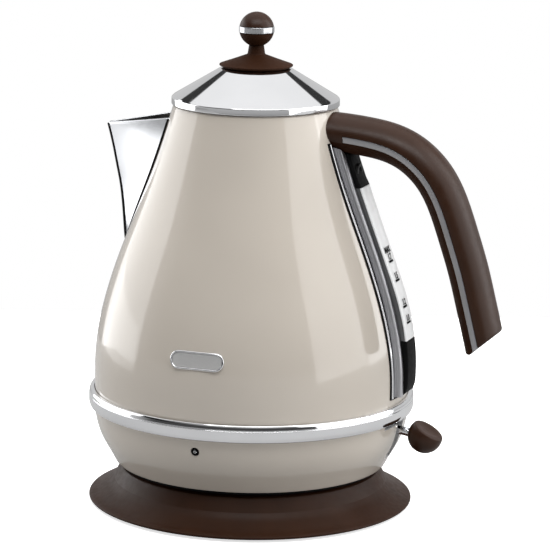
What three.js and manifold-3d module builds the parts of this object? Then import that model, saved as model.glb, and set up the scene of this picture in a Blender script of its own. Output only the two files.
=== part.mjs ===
// Electric kettle: a tapered steel jug that lifts off a round power base.
// Millimetres, +Z up. The spout points to -X and the handle to +X. Every piece is modelled
// about the kettle's own upright axis, and the whole is then shifted along X so that the
// origin is the middle of the overall box, on the surface that the base stands on.
import * as THREE from 'three';
import { mergeVertices } from 'three/addons/utils/BufferGeometryUtils.js';
import Module from 'manifold-3d';

const wasm = await Module();
wasm.setup();

// ---- driving dimensions ---------------------------------------------------------------
const AXIS_X = -27.6;            // the kettle axis, seen from the origin
const GAP = 0.3;                 // clearance between neighbouring pieces
const SEGMENTS = 32;             // facets around the large round pieces
const MEDIUM = 24;               // facets around the knob and the connector
const FINE = 16;                 // facets around the small round pieces
const SCREW = 10;                // facets around a screw and its hole

const BODY_WALL = 1.2;
const BODY_BOTTOM = 60.4;
const BODY_TOP = 231;
const BODY_OUTLINE = [           // radius and height of the jug's outside
  [90.6, 62], [90.5, 86], [86.8, 111], [79.6, 136.5],
  [70.2, 162], [60.6, 187], [52.3, 212], [46.6, 231],
];
const BODY_STEPS = 10;

const BELT_RADIUS = 94;
const BELT_LOW = 56.6;
const BELT_HIGH = 66.6;

const SKIRT_OUTLINE = [[78.8, 25], [82.2, 31.3], [86.2, 38.4], [88.9, 45.5], [90.5, 52.6], [91.4, 56.2]];
const SKIRT_WALL = 2.2;
const SKIRT_TOP = 59.8;

const BASE_RADIUS = 93.7;
const BASE_TOP = 21.6;
const BASE_WALL = 2;
const BASE_FLOOR = 1.4;          // underside of the base's bottom plate
const FOOT_RING = 76;
const BASE_SCREW_RING = 66;

const UNDERPLATE_LOW = 22.6;
const UNDERPLATE_HIGH = 25;
const UNDERPLATE_RADIUS = 76.4;
const UNDERPLATE_SCREW_RING = 68;

const PLUG_RADIUS = 13.5;        // the round connector that stands on the base
const PLUG_TOP = 36;
const PLUG_SLOT = [5.4, 8.6];
const PLUG_HOLE = 2.6;
const PLUG_FLOOR = 20;

const FLOOR_Z = 69;              // underside of the jug's heated floor
const FLOOR_RADIUS = 86;

const LID_RADIUS = 47.8;
const LID_LOW = 231.4;
const LID_CONE_TOP = 252;
const LID_CONE_RADIUS = 20.2;
const LID_WALL = 1.4;
const LID_PLUG_RADIUS = 40.5;
const LID_PLUG_LOW = 214;

const KNOB_Z = 274;
const KNOB_RADIUS = 9.9;
const KNOB_BAND = 3.4;
const NECK_RADIUS = 4.3;
const SAUCER_RADIUS = 21;
const KNOB_BORE = 2.2;

const SPOUT_LEVELS = [           // height, ridge distance from the axis, half width on the jug
  [140, 77.6, 1], [145, 78.5, 6], [150, 78.9, 9], [160, 79.7, 13], [170, 80.6, 16],
  [181, 82.2, 18.4], [190, 84.1, 20], [199, 86, 20.6], [207, 87.7, 20.6], [215, 90.1, 20.3], [226, 94, 20],
];
const SPOUT_WALL = 1.4;
const SPOUT_NOSE = 3;
const SPOUT_TIP = [-90.1, 214.9];
const SPOUT_BACK = [-44.9, 222.5];

const GAUGE_LOW = 71;
const GAUGE_HIGH = 214;
const GAUGE_PANEL = 12.4;        // half width of the raised panel
const GAUGE_CHANNEL = 8.6;       // half width of the channel that holds the window
const WINDOW_HALF = 8;
const WINDOW_LOW = 103;
const WINDOW_HIGH = 189;
const WINDOW_OUT = 8.5;
const WINDOW_WALL = 1.5;

const HANDLE_PATH = [            // centre line from the jug's shoulder to the free end
  [44, 218.9], [52.1, 218.5], [67.2, 217.1], [81.2, 214.5], [92.4, 209.8], [100.2, 204.1], [106.7, 197.2],
  [112.1, 188.8], [117.1, 177.7], [122, 164.1], [128.1, 145.7], [132.5, 129.3], [137.5, 109.9], [141.5, 93],
];
const HANDLE_DEPTH = 11;         // half thickness in the plane of the handle
const HANDLE_WIDTH = 15;         // half width across it
const HANDLE_WALL = 2.4;
const STRIP = [-3.15, 0.15];     // the trim band's two faces, measured outwards from the centre line
const HANDLE_END = { x: 138.6, z: 104.25, tilt: 41 };

const SWITCH_PIVOT = [80, 50];
const SWITCH_KNOB = [105.5, 47.6];
const SWITCH_KNOB_RADIUS = 10;
const SWITCH_KNOB_LEAN = 31;     // degrees that the knob's flat face leans outwards
const SWITCH_SLOT = 5;

const BADGE = { z: 100.7, length: 31.7, height: 10.2, rim: 1.2, proud: 1.4 };
const LAMP = { z: 49.3, radius: 2.1 };

const FILTER_LEAN = 19.5;        // degrees; the jug's wall leans as much there
const FILTER = { x: -55.2, z: 184, width: 33, height: 50, bar: 3, thick: 2.4 };

// ---- solids and shapes ----------------------------------------------------------------
function solid(geometry) {
  const bare = geometry.clone();
  bare.deleteAttribute('normal');
  bare.deleteAttribute('uv');
  const merged = mergeVertices(bare, 1e-3);
  return new wasm.Manifold(new wasm.Mesh({
    numProp: 3,
    vertProperties: merged.attributes.position.array,
    triVerts: Uint32Array.from(merged.index.array),
  }));
}

function shell(manifold) {
  const mesh = manifold.getMesh();
  const geometry = new THREE.BufferGeometry();
  geometry.setAttribute('position', new THREE.Float32BufferAttribute(mesh.vertProperties, 3));
  geometry.setIndex(Array.from(mesh.triVerts));
  return geometry;
}

function cut(geometry, ...tools) {
  return shell(tools.reduce((left, tool) => left.subtract(solid(tool)), solid(geometry)));
}

function join(geometry, ...others) {
  return shell(others.reduce((whole, other) => whole.add(solid(other)), solid(geometry)));
}

function common(geometry, other) {
  return shell(solid(geometry).intersect(solid(other)));
}

// A turned piece. A profile that doesn't start on the axis closes on itself.
function lathe(profile, segments = SEGMENTS) {
  const points = profile.map(([r, z]) => new THREE.Vector2(r, z));
  if (THREE.ShapeUtils.area(points) < 0) points.reverse();
  if (points[0].x > 0) points.push(points[0].clone());
  return new THREE.LatheGeometry(points, segments).rotateX(Math.PI / 2);
}

function ring(inner, outer, low, high, segments = FINE) {
  return lathe([[inner, low], [outer, low], [outer, high], [inner, high]], segments);
}

function disc(radius, low, high, segments = FINE) {
  return lathe([[0, low], [radius, low], [radius, high], [0, high]], segments);
}

function box(x0, x1, y0, y1, z0, z1) {
  return new THREE.BoxGeometry(x1 - x0, y1 - y0, z1 - z0)
    .translate((x0 + x1) / 2, (y0 + y1) / 2, (z0 + z1) / 2);
}

// Points a piece that was made about +Z along another direction, with its origin at a place.
function aim(geometry, direction, place) {
  const turn = new THREE.Quaternion().setFromUnitVectors(
    new THREE.Vector3(0, 0, 1), new THREE.Vector3(...direction).normalize());
  return geometry.applyQuaternion(turn).translate(...place);
}

function rod(from, to, radius, sides = 12) {
  const start = new THREE.Vector3(...from);
  const along = new THREE.Vector3(...to).sub(start);
  return aim(disc(radius, 0, along.length(), sides), along.toArray(), from);
}

function aroundAxis(radius, degrees, z = 0) {
  const angle = THREE.MathUtils.degToRad(degrees);
  return [radius * Math.cos(angle), radius * Math.sin(angle), z];
}

function outlineRadius(curve, z) {
  const above = curve.filter((point) => point.y > z).length;
  const high = THREE.MathUtils.clamp(curve.length - above, 1, curve.length - 1);
  const [a, b] = [curve[high - 1], curve[high]];
  return a.x + (b.x - a.x) * (z - a.y) / (b.y - a.y);
}

const bodyCurve = new THREE.SplineCurve(BODY_OUTLINE.map(([r, z]) => new THREE.Vector2(r, z))).getPoints(70);
const bodyRadius = (z) => outlineRadius(bodyCurve, z);

function steps(from, to, count) {
  return Array.from({ length: count + 1 }, (_, i) => from + (to - from) * i / count);
}

const bodyLevels = steps(BODY_BOTTOM, BODY_TOP, BODY_STEPS);
const bodyWall = (offset) => bodyLevels.map((z) => [bodyRadius(z) + offset, z]);

// The jug as a full block, grown by an offset, for fitting pieces to its surface.
function bodyBlock(offset) {
  return lathe([[0, BODY_BOTTOM], ...bodyWall(offset), [0, BODY_TOP]]);
}

// A closed body over a row of outlines with the same number of points.
function loft(outlines) {
  const count = outlines[0].length;
  const index = [];
  for (let i = 0; i < outlines.length - 1; i += 1) {
    for (let j = 0; j < count; j += 1) {
      const [a, b] = [i * count + j, i * count + (j + 1) % count];
      index.push(a, b, b + count, a, b + count, a + count);
    }
  }
  const last = (outlines.length - 1) * count;
  for (const [p, q, r] of capTriangles(outlines[0])) index.push(p, r, q);
  for (const [p, q, r] of capTriangles(outlines.at(-1))) index.push(last + p, last + q, last + r);
  const geometry = new THREE.BufferGeometry().setFromPoints(outlines.flat());
  geometry.setIndex(index);
  if (signedVolume(geometry) < 0) {
    geometry.setIndex(index.toReversed());
  }
  return geometry;
}

function capTriangles(outline) {
  const middle = outline.reduce((sum, p) => sum.add(p), new THREE.Vector3()).divideScalar(outline.length);
  const normal = new THREE.Vector3();
  outline.forEach((p, i) => {
    const next = outline[(i + 1) % outline.length];
    normal.add(p.clone().sub(middle).cross(next.clone().sub(middle)));
  });
  normal.normalize();
  const across = outline[0].clone().sub(middle).projectOnPlane(normal).normalize();
  const up = normal.clone().cross(across);
  const flat = outline.map((p) => {
    const arm = p.clone().sub(middle);
    return new THREE.Vector2(arm.dot(across), arm.dot(up));
  });
  return THREE.ShapeUtils.triangulateShape(flat, []).map(([p, q, r]) => (
    THREE.ShapeUtils.area([flat[p], flat[q], flat[r]]) > 0 ? [p, q, r] : [p, r, q]));
}

function signedVolume(geometry) {
  const at = geometry.attributes.position;
  const corner = (i) => new THREE.Vector3().fromBufferAttribute(at, geometry.index.getX(i));
  let six = 0;
  for (let i = 0; i < geometry.index.count; i += 3) six += corner(i).dot(corner(i + 1).cross(corner(i + 2)));
  return six / 6;
}

function extrude(shape, depth) {
  return new THREE.ExtrudeGeometry(shape, { depth, bevelEnabled: false, curveSegments: 8 });
}

// An outline drawn in the X and Z directions, extruded along -Y from a start distance.
function extrudeForward(shape, from, to) {
  return extrude(shape, to - from).rotateX(Math.PI / 2).translate(0, -from, 0);
}

function stadium(length, height, x = 0, z = 0) {
  const r = height / 2;
  const reach = length / 2 - r;
  const shape = new THREE.Shape();
  shape.absarc(x + reach, z, r, -Math.PI / 2, Math.PI / 2);
  shape.absarc(x - reach, z, r, Math.PI / 2, Math.PI * 1.5);
  return shape;
}

// A pan-head screw made about +Z: its head is below zero and its shank above.
function screw(headRadius, headHeight, shankRadius, shankLength) {
  return lathe([
    [0, -headHeight], [headRadius * 0.8, -headHeight], [headRadius, -headHeight * 0.5], [headRadius, 0],
    [shankRadius, 0], [shankRadius, shankLength], [0, shankLength]], SCREW);
}

// ---- materials ------------------------------------------------------------------------
const finish = (color, roughness, metalness, opacity = 1) => () => new THREE.MeshStandardMaterial({
  color, roughness, metalness, opacity, transparent: opacity < 1 });
const cream = finish(0xd9cdbd, 0.18, 0.1);
const brown = finish(0x4a2f26, 0.55, 0);
const chrome = finish(0xd4d6da, 0.08, 1);
const steel = finish(0xb8babd, 0.35, 1);
const black = finish(0x161616, 0.45, 0);
const rubber = finish(0x2a2a2a, 0.85, 0);
const brass = finish(0xc9a24c, 0.3, 1);
const frosted = finish(0xe9ecee, 0.3, 0, 0.6);
const mesh = finish(0xa9abad, 0.6, 0.8);

const kettle = new THREE.Group();
function piece(parent, name, geometry, material) {
  const node = new THREE.Mesh(geometry, material());
  node.name = name;
  parent.add(node);
}

function group(parent) {
  const child = new THREE.Group();
  parent.add(child);
  return child;
}

// ---- power base -----------------------------------------------------------------------
const THIRDS = [30, 150, 270];
const FOOT_ANGLES = [45, 135, 225, 315];

function baseCover() {
  const outside = [
    [92.6, BASE_FLOOR], [93.5, 1.8], [BASE_RADIUS, 2.4], [93.4, 3.1], [92.6, 3.6], [85.8, 7.2], [81.2, 10.6],
    [79.2, 12.8], [75.3, 20.3], [72.8, BASE_TOP],
  ];
  const hole = PLUG_RADIUS + 0.7;
  const inside = [
    [hole, BASE_TOP], [hole, BASE_TOP - BASE_WALL], [72.4, BASE_TOP - BASE_WALL],
    [77.2, 11.2], [84.6, 5.4], [89.5, 3.2], [89.5, BASE_FLOOR],
  ];
  const bosses = THIRDS.map((angle) => {
    const [x, y] = aroundAxis(BASE_SCREW_RING, angle);
    return ring(1.8, 4, 3.6, BASE_TOP - 1, SCREW).translate(x, y, 0);
  });
  const cordNotch = rod([0, 84, 3.2], [0, 96, 3.2], 4.2, 16);
  const cordSlot = box(-4.2, 4.2, 84, 96, 0, 3.2);
  return cut(join(lathe([...outside, ...inside]), ...bosses), cordNotch, cordSlot);
}

const CORD_GROOVE = [34, 56];    // the cord is wound in this groove under the base
const CORD_GROOVE_TOP = 11.4;
const CORD_INLET_Z = 8;
const BASE_PLATE = 1.8;

function baseUnderplate() {
  const [inner, outer] = CORD_GROOVE;
  const top = BASE_FLOOR + BASE_PLATE;
  const roof = CORD_GROOVE_TOP + BASE_PLATE;
  const plate = lathe([
    [0, BASE_FLOOR], [inner, BASE_FLOOR], [inner, CORD_GROOVE_TOP], [outer, CORD_GROOVE_TOP],
    [outer, BASE_FLOOR], [88.5, BASE_FLOOR], [88.5, top], [outer + 2, top], [outer + 2, roof],
    [inner - 2, roof], [inner - 2, top], [0, top]]);
  const tab = box(outer - 7, outer + 1, -6, 6, BASE_FLOOR, BASE_FLOOR + 1.6);
  const tabs = [0, 120, 240].map((angle) => tab.clone().rotateZ(THREE.MathUtils.degToRad(angle)));
  const holes = THIRDS.map((angle) => {
    const [x, y] = aroundAxis(BASE_SCREW_RING, angle);
    return disc(1.9, 0, 5, SCREW).translate(x, y, 0);
  });
  const footHoles = FOOT_ANGLES.map((angle) => {
    const [x, y] = aroundAxis(FOOT_RING, angle);
    return disc(2.3, 0, 5, SCREW).translate(x, y, 0);
  });
  const cordWay = box(-4.2, 4.2, outer - 2, 92, 0, 8);
  const inlet = rod([0, inner - 5, CORD_INLET_Z], [0, inner + 3, CORD_INLET_Z], 4.3, FINE);
  return cut(join(plate, ...tabs), ...holes, ...footHoles, cordWay, inlet);
}

function cordInlet() {
  const flange = ring(3.2, 4.7, 0, 1.2);
  const barrel = ring(3.2, 4, 1, 6);
  const y = CORD_GROOVE[0] - 4;
  return aim(join(flange, barrel), [0, 1, 0], [0, y, CORD_INLET_Z]);
}

function connectorPost() {
  const [slotIn, slotOut] = PLUG_SLOT;
  return lathe([
    [0, 12], [12, 12], [12, 17.2], [18, 17.2], [18, 19.2], [PLUG_RADIUS, 19.2], [PLUG_RADIUS, PLUG_TOP - 1],
    [PLUG_RADIUS - 1, PLUG_TOP], [slotOut, PLUG_TOP], [slotOut, PLUG_FLOOR], [slotIn, PLUG_FLOOR],
    [slotIn, PLUG_TOP], [PLUG_HOLE, PLUG_TOP], [PLUG_HOLE, PLUG_FLOOR], [0, PLUG_FLOOR]], MEDIUM);
}

function foot() {
  return lathe([[0, 0], [5.6, 0], [6, 0.4], [6, 1.1], [2, 1.1], [2, 4.2], [0, 4.2]], SCREW);
}

const base = group(kettle);
piece(base, 'base_cover', baseCover(), brown);
piece(base, 'base_underplate', baseUnderplate(), black);
piece(base, 'cord_inlet', cordInlet(), rubber);
piece(base, 'connector_post', connectorPost(), black);
piece(base, 'contact_sleeve_outer', ring(PLUG_SLOT[1] - 0.9, PLUG_SLOT[1] - GAP, PLUG_FLOOR + GAP, 30), brass);
piece(base, 'contact_sleeve_inner', ring(PLUG_SLOT[0] + GAP, PLUG_SLOT[0] + 0.9, PLUG_FLOOR + GAP, 30), brass);
piece(base, 'earth_sleeve', ring(1.6, PLUG_HOLE - GAP, PLUG_FLOOR + GAP, 32), brass);
FOOT_ANGLES.forEach((angle, i) => {
  piece(base, `foot_${i + 1}`, foot().translate(...aroundAxis(FOOT_RING, angle)), rubber);
});
THIRDS.forEach((angle, i) => {
  const fixing = screw(3, 0.7, 1.5, 11).translate(...aroundAxis(BASE_SCREW_RING, angle, BASE_FLOOR - GAP));
  piece(base, `base_screw_${i + 1}`, fixing, steel);
});

// ---- socket that drops over the connector ---------------------------------------------
const SOCKET_OUTER = 16.6;
const SOCKET_INNER = 14.2;
const SOCKET_TOP = 40.5;
const SOCKET_LOW = 23;

const socket = group(kettle);
piece(socket, 'kettle_socket', lathe([
  [0, SOCKET_TOP - 2], [SOCKET_INNER, SOCKET_TOP - 2], [SOCKET_INNER, SOCKET_LOW], [SOCKET_OUTER, SOCKET_LOW],
  [SOCKET_OUTER, SOCKET_TOP], [0, SOCKET_TOP]], MEDIUM), black);
piece(socket, 'socket_contact_ring', ring(6.6, 7.3, PLUG_FLOOR + 2, SOCKET_TOP - 2 - GAP), brass);
piece(socket, 'socket_earth_pin', disc(1.2, PLUG_FLOOR + 1.5, SOCKET_TOP - 2 - GAP, SCREW), brass);

// ---- jug ------------------------------------------------------------------------------
const jug = group(kettle);

// The pouring hole behind the spout: the spout's own width, less a margin all round.
function pourHole(margin, low, high) {
  const outlines = steps(low, high, 5).map((z) => {
    const half = spoutHalf(z) - margin;
    return [[-100, -half], [-30, -half], [-30, half], [-100, half]].map(([x, y]) => new THREE.Vector3(x, y, z));
  });
  return loft(outlines);
}

function spoutLevel(z, column) {
  const above = SPOUT_LEVELS.filter((level) => level[0] > z).length;
  const high = THREE.MathUtils.clamp(SPOUT_LEVELS.length - above, 1, SPOUT_LEVELS.length - 1);
  const [a, b] = [SPOUT_LEVELS[high - 1], SPOUT_LEVELS[high]];
  return a[column] + (b[column] - a[column]) * (z - a[0]) / (b[0] - a[0]);
}
const spoutRidge = (z) => spoutLevel(z, 1);
const spoutHalf = (z) => spoutLevel(z, 2);

const GAUGE_PORTS = [84, 197];   // heights of the two holes that let water into the gauge
const HANDLE_SCREW_Z = 211.5;
const HANDLE_SCREW_Y = [-6, 6];

function bodyShell() {
  const wall = lathe([...bodyWall(0), ...bodyWall(-BODY_WALL).reverse()]);
  const ports = GAUGE_PORTS.map((z) => rod([40, 0, z], [100, 0, z], 3));
  const screwHoles = HANDLE_SCREW_Y.map((y) => rod([40, y, HANDLE_SCREW_Z], [70, y, HANDLE_SCREW_Z], 2.2));
  return cut(wall, pourHole(4.5, 156, 214), ...ports, ...screwHoles);
}

function mouthCollar() {
  const top = BODY_TOP - GAP;
  return ring(42.6, bodyRadius(BODY_TOP) - BODY_WALL - 0.4, top - 8, top, SEGMENTS);
}

function beltRing() {
  const inner = 91;
  return lathe([
    [inner, BELT_LOW], [93, BELT_LOW + 0.3], [93.8, BELT_LOW + 1.6], [BELT_RADIUS, BELT_LOW + 3.4],
    [BELT_RADIUS, BELT_HIGH - 3.4], [93.8, BELT_HIGH - 1.6], [93, BELT_HIGH - 0.3], [inner, BELT_HIGH]]);
}

function lowerSkirt() {
  const inner = SKIRT_OUTLINE.filter((_, i) => i % 2).map(([r, z]) => [r - SKIRT_WALL, z + 0.8]).reverse();
  const wall = lathe([
    [77, 24.4], [78.2, 24.4], ...SKIRT_OUTLINE, [90.4, 56.2], [90.4, SKIRT_TOP], [88.4, SKIRT_TOP],
    ...inner, [77, 25.6]]);
  const bosses = THIRDS.flatMap((angle) => {
    const turn = THREE.MathUtils.degToRad(angle);
    const post = ring(1.8, 4.5, UNDERPLATE_HIGH + 0.4, 40, SCREW).translate(UNDERPLATE_SCREW_RING, 0, 0);
    const rib = box(UNDERPLATE_SCREW_RING + 3, 82.6, -1.2, 1.2, 33, 37);
    return [post.rotateZ(turn), rib.rotateZ(turn)];
  });
  const slot = box(80, 100, -SWITCH_SLOT, SWITCH_SLOT, 33, 70);
  const relief = box(80, 100, -22, 22, 53.8, 70);
  return cut(join(wall, ...bosses), slot, relief, lampHole());
}

const skirtCurve = SKIRT_OUTLINE.map(([r, z]) => new THREE.Vector2(r, z));
const lampRadius = outlineRadius(skirtCurve, LAMP.z);
const lampLean = (outlineRadius(skirtCurve, LAMP.z + 1) - outlineRadius(skirtCurve, LAMP.z - 1)) / 2;
const onLamp = (geometry) => aim(geometry, [0, -1, -lampLean], [0, -lampRadius, LAMP.z]);

function lampHole() {
  return onLamp(disc(LAMP.radius + GAP, -6, 4, 12));
}

function kettleUnderplate() {
  const plate = ring(17.2, UNDERPLATE_RADIUS, UNDERPLATE_LOW, UNDERPLATE_HIGH, SEGMENTS);
  const holes = THIRDS.flatMap((angle) => {
    const [x, y] = aroundAxis(UNDERPLATE_SCREW_RING, angle);
    const shank = disc(1.9, 20, 30, SCREW).translate(x, y, 0);
    return [shank, disc(3.4, 20, UNDERPLATE_LOW + 1.2, SCREW).translate(x, y, 0)];
  });
  return cut(plate, ...holes);
}

function heatingElement() {
  const path = new THREE.CatmullRomCurve3(steps(-150, 150, 16).map((degrees) => (
    new THREE.Vector3(...aroundAxis(55, degrees, FLOOR_Z - 4.6)))));
  const section = new THREE.Shape().absarc(0, 0, 4, 0, Math.PI * 2);
  return new THREE.ExtrudeGeometry(section, { steps: 18, curveSegments: 4, extrudePath: path });
}

function controlUnit() {
  const drum = disc(25, SOCKET_TOP + 0.5, 58);
  const arm = box(18, 70, -11, 11, 44, 56);
  const lugs = [-10, 7].map((y) => box(68, 84, y, y + 3, 46, 54));
  const bore = rod([SWITCH_PIVOT[0], -12, SWITCH_PIVOT[1]], [SWITCH_PIVOT[0], 12, SWITCH_PIVOT[1]], 1.8);
  return cut(join(drum, arm, ...lugs), bore);
}

piece(jug, 'body_shell', bodyShell(), cream);
piece(jug, 'mouth_collar', mouthCollar(), black);
piece(jug, 'belt_ring', beltRing(), chrome);
piece(jug, 'lower_skirt', lowerSkirt(), cream);
piece(jug, 'kettle_underplate', kettleUnderplate(), black);
THIRDS.forEach((angle, i) => {
  const fixing = screw(3, 0.8, 1.5, 12).translate(...aroundAxis(UNDERPLATE_SCREW_RING, angle, UNDERPLATE_LOW + 0.9));
  piece(jug, `underplate_screw_${i + 1}`, fixing, steel);
});
piece(jug, 'heater_plate', disc(FLOOR_RADIUS, FLOOR_Z, FLOOR_Z + 1.2, SEGMENTS), steel);
piece(jug, 'heater_seal', ring(FLOOR_RADIUS + GAP, 88.9, FLOOR_Z - 1.2, FLOOR_Z + 2.4, SEGMENTS), rubber);
piece(jug, 'heating_element', heatingElement(), steel);
piece(jug, 'control_unit', controlUnit(), black);

// ---- spout ----------------------------------------------------------------------------
// One level of the spout: straight sides from the jug to a rounded ridge.
function spoutOutline(z, inset) {
  const ridge = -spoutRidge(z) + inset;
  const half = Math.max(spoutHalf(z) - inset, 0.4);
  const foot = -Math.sqrt(bodyRadius(z) ** 2 - half ** 2);
  const nose = Math.min(SPOUT_NOSE - inset * 0.6, half * 0.6);
  const slope = Math.atan2(half, Math.max(foot - ridge, 0.5));
  const centre = ridge + nose;
  const arc = steps(Math.PI / 2 + slope, Math.PI * 1.5 - slope, 4).map((angle) => (
    [centre + nose * Math.cos(angle), nose * Math.sin(angle)]));
  const outline = [[foot + 14, half], [foot, half], ...arc, [foot, -half], [foot + 14, -half]];
  return outline.map(([x, y]) => new THREE.Vector3(x, y, z));
}

// A block that takes away everything above the line from one point to another, in the XZ plane.
function above([x0, z0], [x1, z1]) {
  const angle = Math.atan2(z1 - z0, x1 - x0);
  return box(-200, 200, -60, 60, 0, 100).rotateY(-angle).translate((x0 + x1) / 2, 0, (z0 + z1) / 2);
}

function spout() {
  const outside = loft(SPOUT_LEVELS.map(([z]) => spoutOutline(z, 0)));
  const hollow = loft(SPOUT_LEVELS.filter(([z]) => z >= 150).map(([z]) => spoutOutline(z, SPOUT_WALL)));
  return cut(outside, hollow, bodyBlock(GAP), above(SPOUT_TIP, SPOUT_BACK));
}

piece(jug, 'spout', spout(), chrome);

// ---- badge and lamp -------------------------------------------------------------------
function onBody(shape, proud) {
  const skin = cut(bodyBlock(proud), bodyBlock(GAP));
  return common(extrudeForward(shape, 60, 100), skin);
}

function badgeFrame() {
  const outline = stadium(BADGE.length, BADGE.height, 0, BADGE.z);
  const inner = stadium(BADGE.length - 2 * BADGE.rim, BADGE.height - 2 * BADGE.rim, 0, BADGE.z);
  return cut(onBody(outline, BADGE.proud), extrudeForward(inner, 50, 110));
}

function badgePlate() {
  const inset = 2 * (BADGE.rim + GAP);
  return onBody(stadium(BADGE.length - inset, BADGE.height - inset, 0, BADGE.z), BADGE.proud - 0.4);
}

piece(jug, 'badge_frame', badgeFrame(), chrome);
piece(jug, 'badge_plate', badgePlate(), steel);
piece(jug, 'lamp_bezel', onLamp(ring(1.4, LAMP.radius, -4, 0.5, 12)), black);
piece(jug, 'lamp_lens', onLamp(lathe([[0, -4], [1.1, -4], [1.1, 0.3], [0.7, 0.7], [0, 0.8]], 12)), frosted);

// ---- handle ---------------------------------------------------------------------------
const handleCurve = new THREE.CatmullRomCurve3(HANDLE_PATH.map(([x, z]) => new THREE.Vector3(x, 0, z)));
const HANDLE_STEPS = 16;

// Part of the handle's oval section, between two distances from its centre line.
function ovalSlice(depth, width, low, high) {
  const from = Math.asin(THREE.MathUtils.clamp(low / depth, -1, 1));
  const to = Math.asin(THREE.MathUtils.clamp(high / depth, -1, 1));
  const side = steps(from, to, 5).map((angle) => [depth * Math.sin(angle), width * Math.cos(angle)]);
  const mirrored = side.map(([n, y]) => [n, -y]).reverse();
  return [...side, ...mirrored].filter(([, y], i) => Math.abs(y) > 1e-6 || i < side.length);
}

function handleSweep(section, from = 0, to = 1) {
  const count = Math.round(HANDLE_STEPS * (to - from));
  return loft(steps(from, to, count).map((t) => {
    const centre = handleCurve.getPointAt(t);
    const along = handleCurve.getTangentAt(t);
    const outward = new THREE.Vector3(-along.z, 0, along.x);
    return section.map(([n, y]) => centre.clone().addScaledVector(outward, n).setY(y));
  }));
}

function beyondEnd() {
  const angle = THREE.MathUtils.degToRad(HANDLE_END.tilt);
  return box(-60, 60, -30, 30, -60, 0).rotateY(-angle).translate(HANDLE_END.x, 0, HANDLE_END.z);
}

function handleShell(low, high) {
  const section = ovalSlice(HANDLE_DEPTH, HANDLE_WIDTH, low, high);
  const outer = low > 0;
  const depth = HANDLE_DEPTH - HANDLE_WALL;
  const hollow = ovalSlice(depth, HANDLE_WIDTH - HANDLE_WALL, outer ? -2 : -depth, outer ? depth : 0);
  return cut(handleSweep(section), bodyBlock(GAP), beyondEnd(), handleSweep(hollow, 0.2, 0.84));
}

function handleBand() {
  const proud = 0.2;
  const section = ovalSlice(HANDLE_DEPTH + proud, HANDLE_WIDTH + proud, ...STRIP);
  return cut(handleSweep(section), bodyBlock(GAP), beyondEnd());
}

const screwWays = HANDLE_SCREW_Y.map((y) => rod([40, y, HANDLE_SCREW_Z], [66, y, HANDLE_SCREW_Z], 1.9));

function handleBracket() {
  const plate = (offset) => loft(steps(207, 218, 3).map((z) => {
    const arc = steps(-12, 12, 6).map((y) => [Math.sqrt((bodyRadius(z) + offset) ** 2 - y ** 2), y]);
    return [...arc, [30, 12], [30, -12]].map(([x, y]) => new THREE.Vector3(x, y, z));
  }));
  const inner = -BODY_WALL - 0.5;
  return cut(plate(inner), plate(inner - 1.4).scale(1, 1.2, 1.2).translate(0, 0, -42.5), ...screwWays);
}

piece(jug, 'handle_outer_shell', handleShell(STRIP[1] + GAP, HANDLE_DEPTH), brown);
piece(jug, 'handle_trim_band', handleBand(), chrome);
piece(jug, 'handle_inner_shell', cut(handleShell(-HANDLE_DEPTH, STRIP[0] - GAP), ...screwWays), brown);
piece(jug, 'handle_bracket', handleBracket(), steel);
HANDLE_SCREW_Y.forEach((y, i) => {
  piece(jug, `handle_screw_${i + 1}`, aim(screw(3.4, 1.6, 1.6, 17), [1, 0, 0], [47, y, HANDLE_SCREW_Z]), steel);
});

// ---- water gauge ----------------------------------------------------------------------
// A strip that follows the jug's outline on the handle side. Each section is a list of
// sideways distance and distance out from the jug's surface.
function gaugeStrip(low, high, section) {
  const levels = [low, ...bodyLevels.filter((z) => z > low + 2 && z < high - 2), high];
  return loft(levels.map((z) => section(z).map(([y, out]) => (
    new THREE.Vector3(Math.sqrt(bodyRadius(z) ** 2 - y ** 2) + out, y, z)))));
}

function mirrored(half) {
  return [...half, ...half.map(([y, out]) => [-y, out]).reverse()];
}

function gaugeFlange(z) {
  const t = (z - GAUGE_LOW) / (GAUGE_HIGH - GAUGE_LOW);
  return 16.6 + 3.6 * Math.sin(Math.PI * t) ** 0.8;
}

const handleClearance = () => handleSweep(
  ovalSlice(HANDLE_DEPTH + 1, HANDLE_WIDTH + 1, -HANDLE_DEPTH - 1, HANDLE_DEPTH + 1), 0, 0.375);

function gaugeFrame() {
  const strip = gaugeStrip(GAUGE_LOW, GAUGE_HIGH, (z) => mirrored([
    [gaugeFlange(z), -1], [gaugeFlange(z), 1.3], [GAUGE_PANEL + 0.6, 1.9], [GAUGE_PANEL, 4.4],
    [GAUGE_PANEL / 2, 4.4]]));
  const channel = gaugeStrip(GAUGE_LOW + 2, GAUGE_HIGH + 6, () => mirrored([
    [GAUGE_CHANNEL, -3], [GAUGE_CHANNEL, 12], [GAUGE_CHANNEL / 2, 12]]));
  return cut(strip, channel, bodyBlock(GAP), handleClearance());
}

const GAUGE_SECTION = [[WINDOW_HALF, 1.1], [WINDOW_HALF, 7.6], [WINDOW_HALF - 0.9, WINDOW_OUT], [3, WINDOW_OUT]];

function gaugeWindow() {
  const block = gaugeStrip(WINDOW_LOW + GAP, WINDOW_HIGH - GAP, () => mirrored(GAUGE_SECTION));
  const inner = WINDOW_HALF - WINDOW_WALL;
  const hollow = gaugeStrip(WINDOW_LOW + 2, WINDOW_HIGH - 2, () => mirrored([
    [inner, -1], [inner, WINDOW_OUT - WINDOW_WALL], [3, WINDOW_OUT - WINDOW_WALL]]));
  return cut(block, hollow);
}

const SEAL_RADIUS = 4.6;
const SEAL_LENGTH = 4;
const sealStart = (z) => bodyRadius(z - SEAL_RADIUS) + 0.6;

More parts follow.
